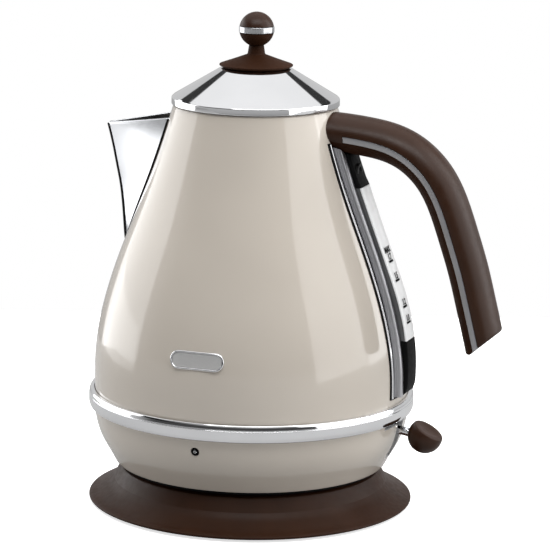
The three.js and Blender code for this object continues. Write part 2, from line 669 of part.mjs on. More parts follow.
function gaugeCap(low, high, port) {
  const block = gaugeStrip(low, high, () => mirrored(GAUGE_SECTION));
  const reach = sealStart(port) + SEAL_LENGTH + GAP;
  const sealWay = rod([reach - 9, 0, port], [reach, 0, port], SEAL_RADIUS + GAP);
  return cut(block, handleClearance(), sealWay);
}

function gaugeSeal(z) {
  return aim(ring(2.8, SEAL_RADIUS, 0, SEAL_LENGTH), [1, 0, 0], [sealStart(z), 0, z]);
}

piece(jug, 'gauge_frame', gaugeFrame(), chrome);
piece(jug, 'gauge_window', gaugeWindow(), frosted);
piece(jug, 'gauge_cap_top', gaugeCap(WINDOW_HIGH, 209, GAUGE_PORTS[1]), black);
piece(jug, 'gauge_cap_bottom', gaugeCap(GAUGE_LOW + 2.4, WINDOW_LOW, GAUGE_PORTS[0]), black);
piece(jug, 'gauge_seal_top', gaugeSeal(GAUGE_PORTS[1]), rubber);
piece(jug, 'gauge_seal_bottom', gaugeSeal(GAUGE_PORTS[0]), rubber);

// ---- lid ------------------------------------------------------------------------------
const lid = group(kettle);

function lidCover() {
  const inner = LID_RADIUS - LID_WALL;
  return lathe([
    [LID_RADIUS, LID_LOW], [LID_RADIUS, LID_LOW + 3.4], [LID_RADIUS - 0.5, LID_LOW + 4],
    [LID_RADIUS - 1, LID_LOW + 4.5], [LID_CONE_RADIUS, LID_CONE_TOP], [KNOB_BORE + 0.2, LID_CONE_TOP],
    [KNOB_BORE + 0.2, LID_CONE_TOP - LID_WALL], [LID_CONE_RADIUS - 0.4, LID_CONE_TOP - LID_WALL],
    [inner - 0.4, LID_LOW + 3.1], [inner, LID_LOW + 2.6], [inner, LID_LOW]]);
}

function lidInner() {
  const wall = 1.6;
  const flange = LID_RADIUS - LID_WALL - 0.5;
  const seat = LID_LOW - 0.2;
  return lathe([
    [0, LID_PLUG_LOW], [LID_PLUG_RADIUS, LID_PLUG_LOW], [LID_PLUG_RADIUS, seat], [flange, seat],
    [flange, seat + 1.4], [LID_PLUG_RADIUS - wall, seat + 1.4], [LID_PLUG_RADIUS - wall, LID_PLUG_LOW + wall],
    [0, LID_PLUG_LOW + wall]]);
}

function knobSaucer() {
  const low = LID_CONE_TOP + 0.4;
  return lathe([
    [KNOB_BORE, low], [SAUCER_RADIUS - 0.4, low], [SAUCER_RADIUS, low + 0.7], [SAUCER_RADIUS - 0.3, low + 1.5],
    [SAUCER_RADIUS - 1.4, low + 2], [14, 256.8], [9, 258.8], [5.6, 260.8], [NECK_RADIUS, 262.8],
    [NECK_RADIUS, 264.8], [KNOB_BORE, 264.8]], MEDIUM);
}

// The knob's ball between two heights, with an optional bore up from its lower face.
function ballSlice(low, high, boreTop) {
  const angles = [low, high].map((z) => Math.asin(THREE.MathUtils.clamp((z - KNOB_Z) / KNOB_RADIUS, -1, 1)));
  const arc = steps(...angles, 5).map((a) => [KNOB_RADIUS * Math.cos(a), KNOB_Z + KNOB_RADIUS * Math.sin(a)]);
  if (boreTop >= high) return lathe([[KNOB_BORE, low], ...arc, [KNOB_BORE, high]], MEDIUM);
  return lathe([[0, boreTop], [KNOB_BORE, boreTop], [KNOB_BORE, low], ...arc.slice(0, -1), [0, high]], MEDIUM);
}

const bandLow = KNOB_Z - KNOB_BAND / 2;
const bandHigh = KNOB_Z + KNOB_BAND / 2;
piece(lid, 'lid_cover', lidCover(), chrome);
piece(lid, 'lid_inner', lidInner(), black);
piece(lid, 'lid_seal', ring(LID_PLUG_RADIUS + GAP, 42.2, 223.4, 226, SEGMENTS), rubber);
piece(lid, 'knob_saucer', knobSaucer(), brown);
piece(lid, 'knob_ball_lower', ballSlice(265.1, bandLow - GAP, bandLow), brown);
piece(lid, 'knob_band', ring(KNOB_BORE, KNOB_RADIUS + 0.15, bandLow, bandHigh, MEDIUM), chrome);
piece(lid, 'knob_ball_upper', ballSlice(bandHigh + GAP, KNOB_Z + KNOB_RADIUS, 280), brown);
piece(lid, 'knob_screw', screw(4.2, 1.8, 1.8, 29).translate(0, 0, LID_CONE_TOP - LID_WALL - 0.3), steel);

// ---- limescale filter -----------------------------------------------------------------
const filter = group(kettle);

function filterPanel(width, height, thick) {
  return box(-thick / 2, thick / 2, -width / 2, width / 2, -height / 2, height / 2);
}

function placeFilter(geometry) {
  return geometry.rotateY(THREE.MathUtils.degToRad(FILTER_LEAN)).translate(FILTER.x, 0, FILTER.z);
}

function filterFrame() {
  const { width, height, bar, thick } = FILTER;
  const window = filterPanel(width - 2 * bar, height - 2 * bar, thick * 2);
  const tab = box(-thick / 2, thick / 2, -6, 6, height / 2 - 1, height / 2 + 2);
  const slot = filterPanel(width - 2 * bar + 2, height - 2 * bar + 2, 1);
  return placeFilter(cut(join(filterPanel(width, height, thick), tab), window, slot));
}

function filterMesh() {
  const { width, height, bar } = FILTER;
  return placeFilter(filterPanel(width - 2 * bar + 1.2, height - 2 * bar + 1.2, 0.4));
}

piece(filter, 'filter_frame', filterFrame(), black);
piece(filter, 'filter_mesh', filterMesh(), mesh);

// ---- on and off lever -----------------------------------------------------------------
const lever = group(kettle);
const [pivotX, pivotZ] = SWITCH_PIVOT;
const [knobX, knobZ] = SWITCH_KNOB;
const STEM_START = [87, 0, 50];

function leverYoke() {
  const hub = rod([pivotX, -6, pivotZ], [pivotX, 6, pivotZ], 4, 16);
  const arm = box(pivotX, STEM_START[0] - 2 * GAP, -3, 3, pivotZ - 2.6, pivotZ + 2.6);
  const bore = rod([pivotX, -8, pivotZ], [pivotX, 8, pivotZ], 1.8);
  return cut(join(hub, arm), bore);
}

function leverKnob() {
  const r = SWITCH_KNOB_RADIUS;
  const face = 4;
  const edge = Math.sqrt(r ** 2 - face ** 2);
  const arc = steps(-Math.PI / 2, Math.asin((face - 0.8) / r), 7).map((a) => [r * Math.cos(a), r * Math.sin(a)]);
  const turned = lathe([[0, -r], ...arc.slice(1), [edge - 0.8, face], [4, face - 0.6], [0, face - 0.7]], MEDIUM);
  const lean = THREE.MathUtils.degToRad(SWITCH_KNOB_LEAN);
  const ball = aim(turned, [Math.sin(lean), 0, Math.cos(lean)], [knobX, 0, knobZ]);
  return cut(ball, rod(STEM_START, [knobX - 4, 0, knobZ + 0.3], 2.5 + GAP));
}

piece(jug, 'lever_pin', rod([pivotX, -10.5, pivotZ], [pivotX, 10.5, pivotZ], 1.5), steel);
piece(lever, 'lever_yoke', leverYoke(), black);
piece(lever, 'lever_stem', rod(STEM_START, [knobX - 4.5, 0, knobZ + 0.35], 2.5), chrome);
piece(lever, 'lever_knob', leverKnob(), brown);

kettle.position.x = AXIS_X;
export default kettle;
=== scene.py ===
# %% [markdown]
# # An electric kettle on its power base
# This file is a lesson in building one finished product in Blender. The engineering model is
# loaded first as a fixed frame: it says where every piece sits and what moves. Each visible
# piece is then made again with a smooth surface, real edge radii and its own finish, in the
# place that the frame gives. Sizes about the kettle's upright axis are in millimetres, and
# the step to metres is made once, where a mesh is built.

# %% Load the frame
import math

import bmesh
import bpy
import numpy as np
from mathutils import Matrix, Vector


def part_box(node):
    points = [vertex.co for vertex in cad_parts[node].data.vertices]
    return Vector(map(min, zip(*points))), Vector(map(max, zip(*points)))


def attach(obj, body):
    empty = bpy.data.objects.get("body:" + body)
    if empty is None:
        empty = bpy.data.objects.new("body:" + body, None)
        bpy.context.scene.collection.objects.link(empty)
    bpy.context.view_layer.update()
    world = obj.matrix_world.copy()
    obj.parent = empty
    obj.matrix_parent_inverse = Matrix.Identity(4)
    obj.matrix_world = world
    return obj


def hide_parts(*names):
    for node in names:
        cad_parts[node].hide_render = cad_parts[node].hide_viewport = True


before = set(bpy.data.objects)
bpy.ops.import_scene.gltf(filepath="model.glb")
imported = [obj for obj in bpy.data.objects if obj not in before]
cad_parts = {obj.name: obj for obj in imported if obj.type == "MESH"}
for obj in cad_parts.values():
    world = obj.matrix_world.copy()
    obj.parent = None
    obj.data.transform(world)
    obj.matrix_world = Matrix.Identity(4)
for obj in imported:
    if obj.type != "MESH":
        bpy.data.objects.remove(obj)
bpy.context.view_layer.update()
MM = 0.001
belt_low, belt_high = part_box("belt_ring")
AXIS_X = (belt_low.x + belt_high.x) / 2
print("the kettle's axis stands at x =", round(AXIS_X, 5))


def to_frame(point):
    """A point in millimetres about the kettle's axis, as a point of the frame in metres."""
    x, y, z = point
    return (x * MM + AXIS_X, y * MM, z * MM)


def put(name, data):
    """A new object in the scene."""
    thing = bpy.data.objects.new(name, data)
    bpy.context.scene.collection.objects.link(thing)
    return thing


# %% [markdown]
# ## The camera
# A product shot is taken from far away with a long lens, so that the jug's sides stay
# straight and the base is a flat oval. The camera stands 20 degrees round from the front,
# towards the handle, a little above the lid, and it leans by less than a degree.

# %% Camera
LENS = 193.55
CAMERA_AROUND = math.radians(20)
CAMERA_AWAY = 1.66398
CAMERA_HEIGHT = 0.4782
CAMERA_PITCH = math.radians(11.745)
CAMERA_YAW = math.radians(0.432)
CAMERA_ROLL = math.radians(0.9215)


def aim_camera():
    forward = Vector((math.sin(CAMERA_YAW) * math.cos(CAMERA_PITCH),
                      math.cos(CAMERA_YAW) * math.cos(CAMERA_PITCH), -math.sin(CAMERA_PITCH)))
    level = Vector((math.cos(CAMERA_YAW), -math.sin(CAMERA_YAW), 0))
    upright = level.cross(forward)
    right = level * math.cos(CAMERA_ROLL) + upright * math.sin(CAMERA_ROLL)
    up = upright * math.cos(CAMERA_ROLL) - level * math.sin(CAMERA_ROLL)
    turn = Matrix((right, up, -forward)).transposed().to_4x4()
    stand = Matrix.Translation(Vector((0, -CAMERA_AWAY, CAMERA_HEIGHT)))
    return (Matrix.Translation(Vector((AXIS_X, 0, 0)))
            @ Matrix.Rotation(CAMERA_AROUND, 4, "Z") @ stand @ turn)


camera = put("camera", bpy.data.cameras.new("camera"))
camera.data.lens = LENS
camera.data.clip_end = 50
camera.matrix_world = aim_camera()
bpy.context.scene.camera = camera
print("camera at", [round(v, 3) for v in camera.matrix_world.translation])

# %% [markdown]
# ## Expressions that become nodes
# A finish is a small program made of nodes. Wired by hand in code it is hard to read, so one
# class wraps a socket and answers to the usual operators: `grain * 0.5 + 0.2` adds the Math
# nodes that it says. Every other node comes from one method.


# %% Wire
class Wire:
    """A socket that can stand in an expression."""

    def __init__(self, tree, socket=None):
        self.tree = tree
        self.socket = socket

    def node(self, kind, settings=None, inputs=None, out=0):
        made = self.tree.nodes.new(kind)
        for key, value in (settings or {}).items():
            if key == "stops":
                self.fill_ramp(made.color_ramp, value)
            else:
                setattr(made, key, value)
        for key, value in (inputs or {}).items():
            if isinstance(value, Wire):
                self.tree.links.new(value.socket, made.inputs[key])
            else:
                made.inputs[key].default_value = value
        return Wire(self.tree, made.outputs[out] if made.outputs else None)

    @staticmethod
    def fill_ramp(ramp, stops):
        while len(ramp.elements) < len(stops):
            ramp.elements.new(0.5)
        for element, (place, grey) in zip(ramp.elements, stops):
            element.position = place
            element.color = (grey, grey, grey, 1)

    def maths(self, operation, first, second=0.0):
        return self.node("ShaderNodeMath", {"operation": operation}, {0: first, 1: second})

    def split(self):
        """The three parts of a vector."""
        parts = self.node("ShaderNodeSeparateXYZ", inputs={0: self})
        return [Wire(self.tree, part) for part in parts.socket.node.outputs]

    def between(self, low, high, first=0.0, last=1.0, kind="LINEAR"):
        """Takes the range from low to high to the range from first to last."""
        return self.node("ShaderNodeMapRange", {"interpolation_type": kind}, {
            "Value": self, "From Min": low, "From Max": high, "To Min": first, "To Max": last})

    def __add__(self, other):
        return self.maths("ADD", self, other)

    def __sub__(self, other):
        return self.maths("SUBTRACT", self, other)

    def __rsub__(self, other):
        return self.maths("SUBTRACT", other, self)

    def __mul__(self, other):
        return self.maths("MULTIPLY", self, other)

    def __truediv__(self, other):
        return self.maths("DIVIDE", self, other)

    def __rtruediv__(self, other):
        return self.maths("DIVIDE", other, self)

    __radd__ = __add__
    __rmul__ = __mul__


# %% [markdown]
# ## Studio, floor and light
# Enamel and chrome show their surroundings, so the light is most of the look. The room is a
# white tent with a darker front, where the camera stands. All the way round, a dark gap lies
# between the walls and the bright ceiling, and it draws the crisp dark stripes on the lid.
# The room's greys are listed by how far up they are: 0 is straight down, 0.5 is level.

# %% Room
HORIZON = 0.5
ROOM_STOPS = [(0.0, 0.02), (0.40, 0.03), (0.43, 0.36), (0.49, 0.46), (0.51, 0.60), (0.640, 0.60),
              (0.644, 0.04), (0.706, 0.04), (0.710, 0.92), (1.0, 0.98)]
ROOM_STRENGTH = 1.05
FRONT_SHADE = 0.10


def make_room():
    world = bpy.data.worlds.new("studio")
    bpy.context.scene.world = world
    world.use_nodes = True
    tree = world.node_tree
    tree.nodes.clear()
    start = Wire(tree)
    way = start.node("ShaderNodeTexCoord", out="Generated")
    side, depth, height = way.split()
    climb = height.maths("ARCSINE", height) * (1 / math.pi) + HORIZON
    walls = climb.node("ShaderNodeValToRGB", {"stops": ROOM_STOPS}, {"Fac": climb})
    facing = side * math.sin(CAMERA_AROUND) - depth * math.cos(CAMERA_AROUND)
    front = facing.between(-0.1, 0.35, 1.0, FRONT_SHADE, kind="SMOOTHSTEP")
    low = height.between(0.6, 0.9, kind="SMOOTHSTEP")
    below = height.between(0.0, -0.02)
    shade = front + low.maths("MAXIMUM", low, below) * (1 - front)
    seen = start.node("ShaderNodeLightPath", out="Is Camera Ray")
    plain = walls.node("ShaderNodeMix", {"data_type": "RGBA"}, {0: seen, 6: walls, 7: (1, 1, 1, 1)}, out=2)
    light = plain.node("ShaderNodeBackground", inputs={
        "Color": plain, "Strength": seen + (1 - seen) * shade * ROOM_STRENGTH})
    light.node("ShaderNodeOutputWorld", inputs={"Surface": light})


make_room()
bpy.context.scene.view_settings.view_transform = "Standard"
print("room made")

# %% [markdown]
# ### Soft lights
# Wide soft lights stand left and right and give the jug its two long highlights. A low one
# lights the spout's flank, one overhead fills the shadows without being mirrored, and a thin
# one stands in front.


# %% Lights
def soft_light(name, around, away, height, size, power, look_at=0.13):
    """A rectangular light at an angle round the kettle, counted from the camera's side."""
    lamp = bpy.data.lights.new(name, "AREA")
    lamp.shape = "RECTANGLE"
    lamp.size, lamp.size_y = size
    lamp.energy = power
    angle = math.radians(around) + CAMERA_AROUND - math.pi / 2
    place = Vector((AXIS_X + away * math.cos(angle), away * math.sin(angle), height))
    light = put(name, lamp)
    light.location = place
    light.rotation_euler = (Vector((AXIS_X, 0, look_at)) - place).to_track_quat("-Z", "Y").to_euler()
    return light


soft_light("light_left", -116, 1.1, 0.33, (1.15, 0.95), 5.5)
soft_light("light_low_left", -112, 0.7, 0.05, (0.57, 0.25), 0.42).visible_camera = False
soft_light("light_right", 68, 1.2, 0.65, (1.2, 1.9), 11)
soft_light("light_back_right", 102, 1.1, 0.5, (0.5, 1.2), 4.5)
soft_light("light_top", 180, 0.30, 1.3, (1.2, 0.9), 7).visible_glossy = False
soft_light("light_front", 0, 0.75, 1.35, (1.3, 0.5), 9)

# %% [markdown]
# ## Finishes
# Each finish starts from the Principled shader. What is the same all over sits on the
# shader's own sockets. What changes over the surface, such as a fine grain or a little
# variation of gloss, comes from noise on Object coordinates, at the real grain's size.


# %% Finish
def new_finish(name, **constants):
    """A material with its Principled shader, and a Wire at its Object coordinates."""
    material = bpy.data.materials.new(name)
    material.use_nodes = True
    shader = material.node_tree.nodes["Principled BSDF"]
    for key, value in constants.items():
        shader.inputs[key.replace("_", " ")].default_value = value
    start = Wire(material.node_tree)
    return material, shader, start.node("ShaderNodeTexCoord", out="Object")


def noise(where, grain_mm, detail=2.0, rough=0.5):
    return where.node("ShaderNodeTexNoise", inputs={
        "Vector": where, "Scale": 1000 / grain_mm, "Detail": detail, "Roughness": rough})


def spread(wire, low, high):
    """Takes the middle part of a noise to the range from low to high."""
    return wire.between(0.3, 0.7, low, high)


def plug(shader, name, wire):
    wire.tree.links.new(wire.socket, shader.inputs[name])


def two_tones(shader, mask, first, second):
    tones = mask.node("ShaderNodeMix", {"data_type": "RGBA"},
                      {0: mask, 6: (*first, 1), 7: (*second, 1)}, out=2)
    plug(shader, "Base Color", tones)


def relief(shader, height, strength, depth_mm):
    bump = height.node("ShaderNodeBump", inputs={
        "Height": height, "Strength": strength, "Distance": depth_mm * MM})
    plug(shader, "Normal", bump)


# %% Finish in two tones
def mottled(name, colour, gloss, bump=None, **constants):
    """Colour is a grain and two tones, gloss a grain and two limits, bump a grain, strength and depth."""
    material, shader, where = new_finish(name, **constants)
    grain, first, second = colour
    two_tones(shader, spread(noise(where, *grain), 0, 1), first, second)
    grain, low, high = gloss
    plug(shader, "Roughness", spread(noise(where, *grain), low, high))
    if bump:
        grain, strength, depth = bump
        relief(shader, noise(where, *grain), strength, depth)
    return material


# %% [markdown]
# ### Cream enamel
# A baked enamel is a smooth glass-like coat with the faintest orange peel. The colour barely
# changes, so two near creams are mixed by a very wide noise.

# %% Enamel
CREAMS = (0.575, 0.522, 0.458), (0.61, 0.555, 0.487)
enamel = mottled("cream_enamel", ((60,), *CREAMS), ((9,), 0.10, 0.16), ((2.2, 1.0), 0.05, 0.05),
                 Coat_Weight=0.6, Coat_Roughness=0.03, IOR=1.5)

# %% [markdown]
# ### Brown moulded plastic
# The handle, knobs and base are moulded in a tool with a spark-eroded skin: a satin surface
# of fine rounded grains, which scatters the highlight. A second, wider noise gives the slight
# cloudiness that large moulded faces have. Three pieces differ in gloss: a bright shell, the
# base, and the dull inner shell and saucer.

# %% Brown plastic
BROWNS = (0.027, 0.0098, 0.0040), (0.034, 0.0125, 0.0052)


def make_brown(name, bend, rough):
    """Bend is the index of refraction: the larger it is, the more the plastic shines."""
    return mottled(name, ((14, 4.0), *BROWNS), ((3,), rough, rough + 0.1), ((0.35, 3.0, 0.6), 0.35, 0.03),
                   IOR=bend)


brown = make_brown("brown_plastic", 1.35, 0.33)
dull_brown = make_brown("dull_brown_plastic", 1.17, 0.55)
base_brown = make_brown("base_brown_plastic", 1.24, 0.40)

# %% [markdown]
# ### Chrome and steels
# Chrome plate is a mirror with a trace of polishing haze, so only its roughness moves. The
# spout's polished steel is softer, so its reflections run into each other. Brushed metals
# have a direction: noise stretched round the axis reads as brushing.


# %% Metals
def brushed(name, stretch, grain, tones, gloss, strength, metallic=1.0):
    material, shader, where = new_finish(name, Metallic=metallic)
    stretched = where.node("ShaderNodeMapping", inputs={"Vector": where, "Scale": (1, 1, stretch)})
    brushing = noise(stretched, grain, 5.0, 0.7)
    two_tones(shader, spread(brushing, 0, 1), *tones)
    plug(shader, "Roughness", spread(brushing, *gloss))
    relief(shader, brushing, strength, 0.02)
    return material


def make_brass():
    """Contact brass: where it is tarnished it is both darker and rougher."""
    material, shader, where = new_finish("contact_brass", Metallic=1.0)
    tarnish = spread(noise(where, 4, 4.0), 0, 1)
    two_tones(shader, tarnish, (0.70, 0.50, 0.22), (0.52, 0.36, 0.16))
    plug(shader, "Roughness", tarnish * 0.2 + 0.2)
    return material


def make_satin(name, tone):
    tones = (tone, tone, tone * 1.04), (tone * 1.1, tone * 1.1, tone * 1.15)
    return mottled(name, ((20,), *tones), ((1.2, 4.0), 0.32, 0.42), ((0.4, 3.0), 0.1, 0.02), Metallic=1.0)


# Near-black greys for painted shade: the clear gauge tube, dark for the jug's inside seen through it, and the
# hollow inside the spout.
PAINTED_SHADE_GREYS = (0.10, 0.10, 0.105), (0.16, 0.16, 0.165)
chrome = mottled("chrome", ((30,), (0.80, 0.805, 0.82), (0.84, 0.845, 0.86)), ((5, 5.0), 0.035, 0.085),
                 ((16, 1.0), 0.04, 0.05), Metallic=1.0)
polished = mottled("polished_steel", ((30,), (0.58, 0.59, 0.61), (0.62, 0.63, 0.65)), ((6, 4.0), 0.17, 0.22),
                   ((18, 1.0), 0.03, 0.05), Metallic=1.0)
# Inside the spout: unpolished steel, drawn near black as painted shade of the hollow.
painted_shade_steel = mottled("unpolished_steel_painted_shade", ((4, 4.0), *PAINTED_SHADE_GREYS), ((2,), 0.34, 0.44), Metallic=1.0)
steel = brushed("brushed_steel", 24, 3, ((0.50, 0.50, 0.505), (0.62, 0.62, 0.625)), (0.24, 0.38), 0.15)
silver = brushed("matt_silver", 18, 1.2, ((0.66, 0.655, 0.65), (0.80, 0.795, 0.79)), (0.46, 0.58), 0.2, 0.85)
brass = make_brass()
satin, pale_satin = make_satin("satin_metal", 0.36), make_satin("pale_satin_metal", 0.44)

# %% [markdown]
# ### Black plastic, rubber, clear plastic and print
# Small parts still need a skin. The gauge's window is a milky clear moulding with a faint
# painted glow, which stands in for light passing through it, and the marks on it are
# printed in dull black ink.

# %% Small finishes
black = mottled("black_plastic", ((10, 3.0), (0.003, 0.003, 0.0035), (0.006, 0.006, 0.0065)),
                ((2,), 0.55, 0.68), ((0.5, 2.0), 0.2, 0.02), IOR=1.17)
rubber = mottled("black_rubber", ((6, 3.0), (0.018, 0.018, 0.018), (0.03, 0.03, 0.03)), ((1.5,), 0.65, 0.8),
                 ((0.6, 3.0), 0.4, 0.04), IOR=1.5)
# The window's faint emission is a painted glow, standing in for light that passes through it.
milky_painted_glow = mottled("scale_window_with_painted_glow", ((20,), (0.90, 0.905, 0.91), (0.95, 0.955, 0.96)), ((3,), 0.14, 0.22),
                IOR=1.49, Emission_Color=(1, 1, 1, 1), Emission_Strength=0.05)
# The gauge tube is clear; its dark tone is painted shade of the jug's inside behind it.
painted_shade_tube = mottled("clear_tube_painted_shade", ((20,), *PAINTED_SHADE_GREYS), ((3,), 0.08, 0.16),
                 IOR=1.49, Transmission_Weight=0.3)
lens_clear = mottled("clear_lens", ((1,), (0.75, 0.76, 0.77), (0.85, 0.86, 0.87)), ((1,), 0.05, 0.12),
                     IOR=1.49, Transmission_Weight=0.8)
ink = mottled("black_print", ((2,), (0.006, 0.006, 0.007), (0.012, 0.012, 0.012)), ((1,), 0.55, 0.65),
              IOR=1.12)
print(len(bpy.data.materials), "materials, with the frame's own")

# %% [markdown]
# ### The table top
# It is white where it is looked at, and greyer as a bounce, so that the jug's foot stays
# calm. It is shallow from front to back, so that mirrors also see dark room past it.


# %% Floor
def make_floor_finish():
    material, shader, where = new_finish("pale_floor", Emission_Color=(1, 1, 1, 1), Emission_Strength=0.7)
    two_tones(shader, spread(noise(where, 400), 0, 1), (0.90, 0.90, 0.90), (0.93, 0.93, 0.93))
    plug(shader, "Roughness", spread(noise(where, 50), 0.6, 0.7))
    grey = where.node("ShaderNodeBsdfDiffuse", inputs={"Color": (0.40, 0.40, 0.40, 1)})
    seen = where.node("ShaderNodeLightPath", out="Is Camera Ray")
    both = seen.node("ShaderNodeMixShader", inputs={0: seen, 1: grey, 2: Wire(seen.tree, shader.outputs[0])})
    end = material.node_tree.nodes["Material Output"]
    seen.tree.links.new(both.socket, end.inputs["Surface"])
    return material


def make_floor():
    mesh = bpy.data.meshes.new("floor")
    mesh.from_pydata([(-1.8, -0.62, 0), (1.8, -0.62, 0), (1.8, 0.5, 0), (-1.8, 0.5, 0)], [], [(0, 1, 2, 3)])
    floor = put("floor", mesh)
    floor.rotation_euler.z = CAMERA_AROUND
    floor.data.materials.append(make_floor_finish())


make_floor()

# %% [markdown]
# ## From an outline to a turned piece
# Most of a kettle is turned: body, belt, lid, knob and base are one outline taken round one
# axis. The rule is simple enough to be a node tree. A grid has one column for each outline
# point and one row for each step round the axis. Every grid point then reads its outline
# point and goes to its angle, and the seam and the poles are merged.
#
# The outline's corners are rounded first, because no real edge is sharp and the small arcs
# catch the light.


# %% Outline helpers
def rounded(points, steps=5, closed=True):
    """An outline of (radius, height) or (radius, height, corner radius), corners turned to arcs."""
    result = []
    for i, point in enumerate(points):
        here = np.array(point[:2], float)
        corner = point[2] if len(point) > 2 else 0
        if not corner or (not closed and i in (0, len(points) - 1)):
            result.append(tuple(here))
            continue
        a = np.array(points[i - 1][:2], float) - here
        b = np.array(points[(i + 1) % len(points)][:2], float) - here
        to_a, to_b = a / np.linalg.norm(a), b / np.linalg.norm(b)
        half = math.acos(np.clip(to_a @ to_b, -1, 1)) / 2
        reach = min(corner / math.tan(half), 0.48 * np.linalg.norm(a), 0.48 * np.linalg.norm(b))
        start, end = here + to_a * reach, here + to_b * reach
        for t in np.linspace(0, 1, steps + 1):
            result.append(tuple((1 - t) ** 2 * start + 2 * t * (1 - t) * here + t ** 2 * end))
    return result


def spline(points, count):
    """A smooth curve through a few points: cubic pieces that share slope and bend."""
    points = np.array(points, float)
    knots = np.concatenate([[0], np.cumsum(np.linalg.norm(np.diff(points, axis=0), axis=1))])
    n, gaps = len(points), np.diff(knots)
    system, right = np.eye(n), np.zeros_like(points)
    for i in range(1, n - 1):
        system[i, i - 1:i + 2] = gaps[i - 1], 2 * (gaps[i - 1] + gaps[i]), gaps[i]
        right[i] = 6 * ((points[i + 1] - points[i]) / gaps[i] - (points[i] - points[i - 1]) / gaps[i - 1])
    bend = np.linalg.solve(system, right)
    result = []
    for place in np.linspace(0, knots[-1], count):
        i = min(int(np.searchsorted(knots, place, side="right")) - 1, n - 2)
        u, v, h = knots[i + 1] - place, place - knots[i], gaps[i]
        result.append((bend[i] * u ** 3 + bend[i + 1] * v ** 3) / (6 * h)
                      + (points[i] / h - bend[i] * h / 6) * u + (points[i + 1] / h - bend[i + 1] * h / 6) * v)
    return np.array(result)


def arc(centre, radius, start, end, count=12):
    """Points of a circle in an outline, with the angles in degrees."""
    angles = np.radians(np.linspace(start, end, count))
    return [(centre[0] + radius * math.cos(a), centre[1] + radius * math.sin(a)) for a in angles]


# %% Winding
def counter_clockwise(points):
    r, z = np.array([p[:2] for p in points]).T
    area = np.sum(r * np.roll(z, -1) - np.roll(r, -1) * z)
    return points if area > 0 else points[::-1]


# %% The turning tree
def add_sockets(tree, inputs):
    for name, kind in inputs.items():
        tree.interface.new_socket(name, in_out="INPUT", socket_type=kind)
    tree.interface.new_socket("Piece", in_out="OUTPUT", socket_type="NodeSocketGeometry")
    entry = tree.nodes.new("NodeGroupInput")
    return {name: Wire(tree, entry.outputs[name]) for name in inputs}


def close_tree(wire, finish):
    real = wire.node("GeometryNodeRealizeInstances", inputs={0: wire})
    done = real.node("GeometryNodeSetMaterial", inputs={"Geometry": real, "Material": finish})
    done.node("NodeGroupOutput", inputs={"Piece": done})


def turning_tree():
    tree = bpy.data.node_groups.new("turn_on_axis", "GeometryNodeTree")
    given = add_sockets(tree, {"Outline": "NodeSocketGeometry", "Steps Round": "NodeSocketInt",
                               "Axis X": "NodeSocketFloat", "Axis Y": "NodeSocketFloat",
                               "Finish": "NodeSocketMaterial"})
    outline, around = given["Outline"], given["Steps Round"]
    count = outline.node("GeometryNodeAttributeDomainSize", inputs={0: outline}, out="Point Count")
    rows = around + 1
    grid = outline.node("GeometryNodeMeshGrid", inputs={"Vertices X": count, "Vertices Y": rows})
    index = outline.node("GeometryNodeInputIndex")
    column = index.maths("FLOOR", (index + 0.5) / rows)
    row = index - column * rows
    place = outline.node("GeometryNodeInputPosition")
    spot = outline.node("GeometryNodeSampleIndex", {"data_type": "FLOAT_VECTOR"},
                        {"Geometry": outline, "Value": place, "Index": column})
    radius, _, height = spot.split()
    angle = row / around * math.tau
    x = radius * angle.maths("COSINE", angle) + given["Axis X"]
    y = radius * angle.maths("SINE", angle) + given["Axis Y"]
    target = x.node("ShaderNodeCombineXYZ", inputs={0: x, 1: y, 2: height})
    moved = grid.node("GeometryNodeSetPosition", inputs={"Geometry": grid, "Position": target})
    closed = moved.node("GeometryNodeMergeByDistance", inputs={"Geometry": moved, "Distance": 2e-6})
    outward = closed.node("GeometryNodeFlipFaces", inputs={"Mesh": closed})
    close_tree(outward, given["Finish"])
    return tree


turn_on_axis = turning_tree()


# %% Run a tree on a piece
def set_inputs(modifier, values):
    sockets = {item.name: item.identifier for item in modifier.node_group.interface.items_tree
               if item.in_out == "INPUT"}
    for name, value in values.items():
        modifier[sockets[name]] = value


def bake(piece):
    """Turns what the modifiers make into the piece's own plain mesh."""
    bpy.context.view_layer.update()
    graph = bpy.context.evaluated_depsgraph_get()
    mesh = bpy.data.meshes.new_from_object(piece.evaluated_get(graph), depsgraph=graph)
    piece.modifiers.clear()
    piece.data = mesh
    mesh.name = piece.name
    return piece


def run_tree(name, tree, values, points=()):
    mesh = bpy.data.meshes.new(name)
    mesh.from_pydata(points, [], [])
    piece = put(name, mesh)
    modifier = piece.modifiers.new(tree.name, "NODES")
    modifier.node_group = tree
    set_inputs(modifier, values)
    return bake(piece)


SHARP = math.radians(38)


def settle(piece, body, slot, *nodes):
    """Smooth shading, then the piece goes on its body, the frame's parts that it stands for are hidden, and its
    distance from their box is printed.
    """
    piece.data.shade_smooth()
    piece.data.set_sharp_from_angle(angle=SHARP)
    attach(piece, body)
    off = 0
    if nodes:
        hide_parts(*nodes)
        own = np.array([v.co for v in piece.data.vertices])
        boxes = [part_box(node) for node in nodes]
        low, high = np.min([b[0] for b in boxes], axis=0), np.max([b[1] for b in boxes], axis=0)
        off = max(np.abs(own.min(axis=0) - low).max(), np.abs(own.max(axis=0) - high).max()) / MM
    print(f"{piece.name}: {len(piece.data.polygons)} faces, on {body}, {off:.1f} mm from the frame's box")
    return piece


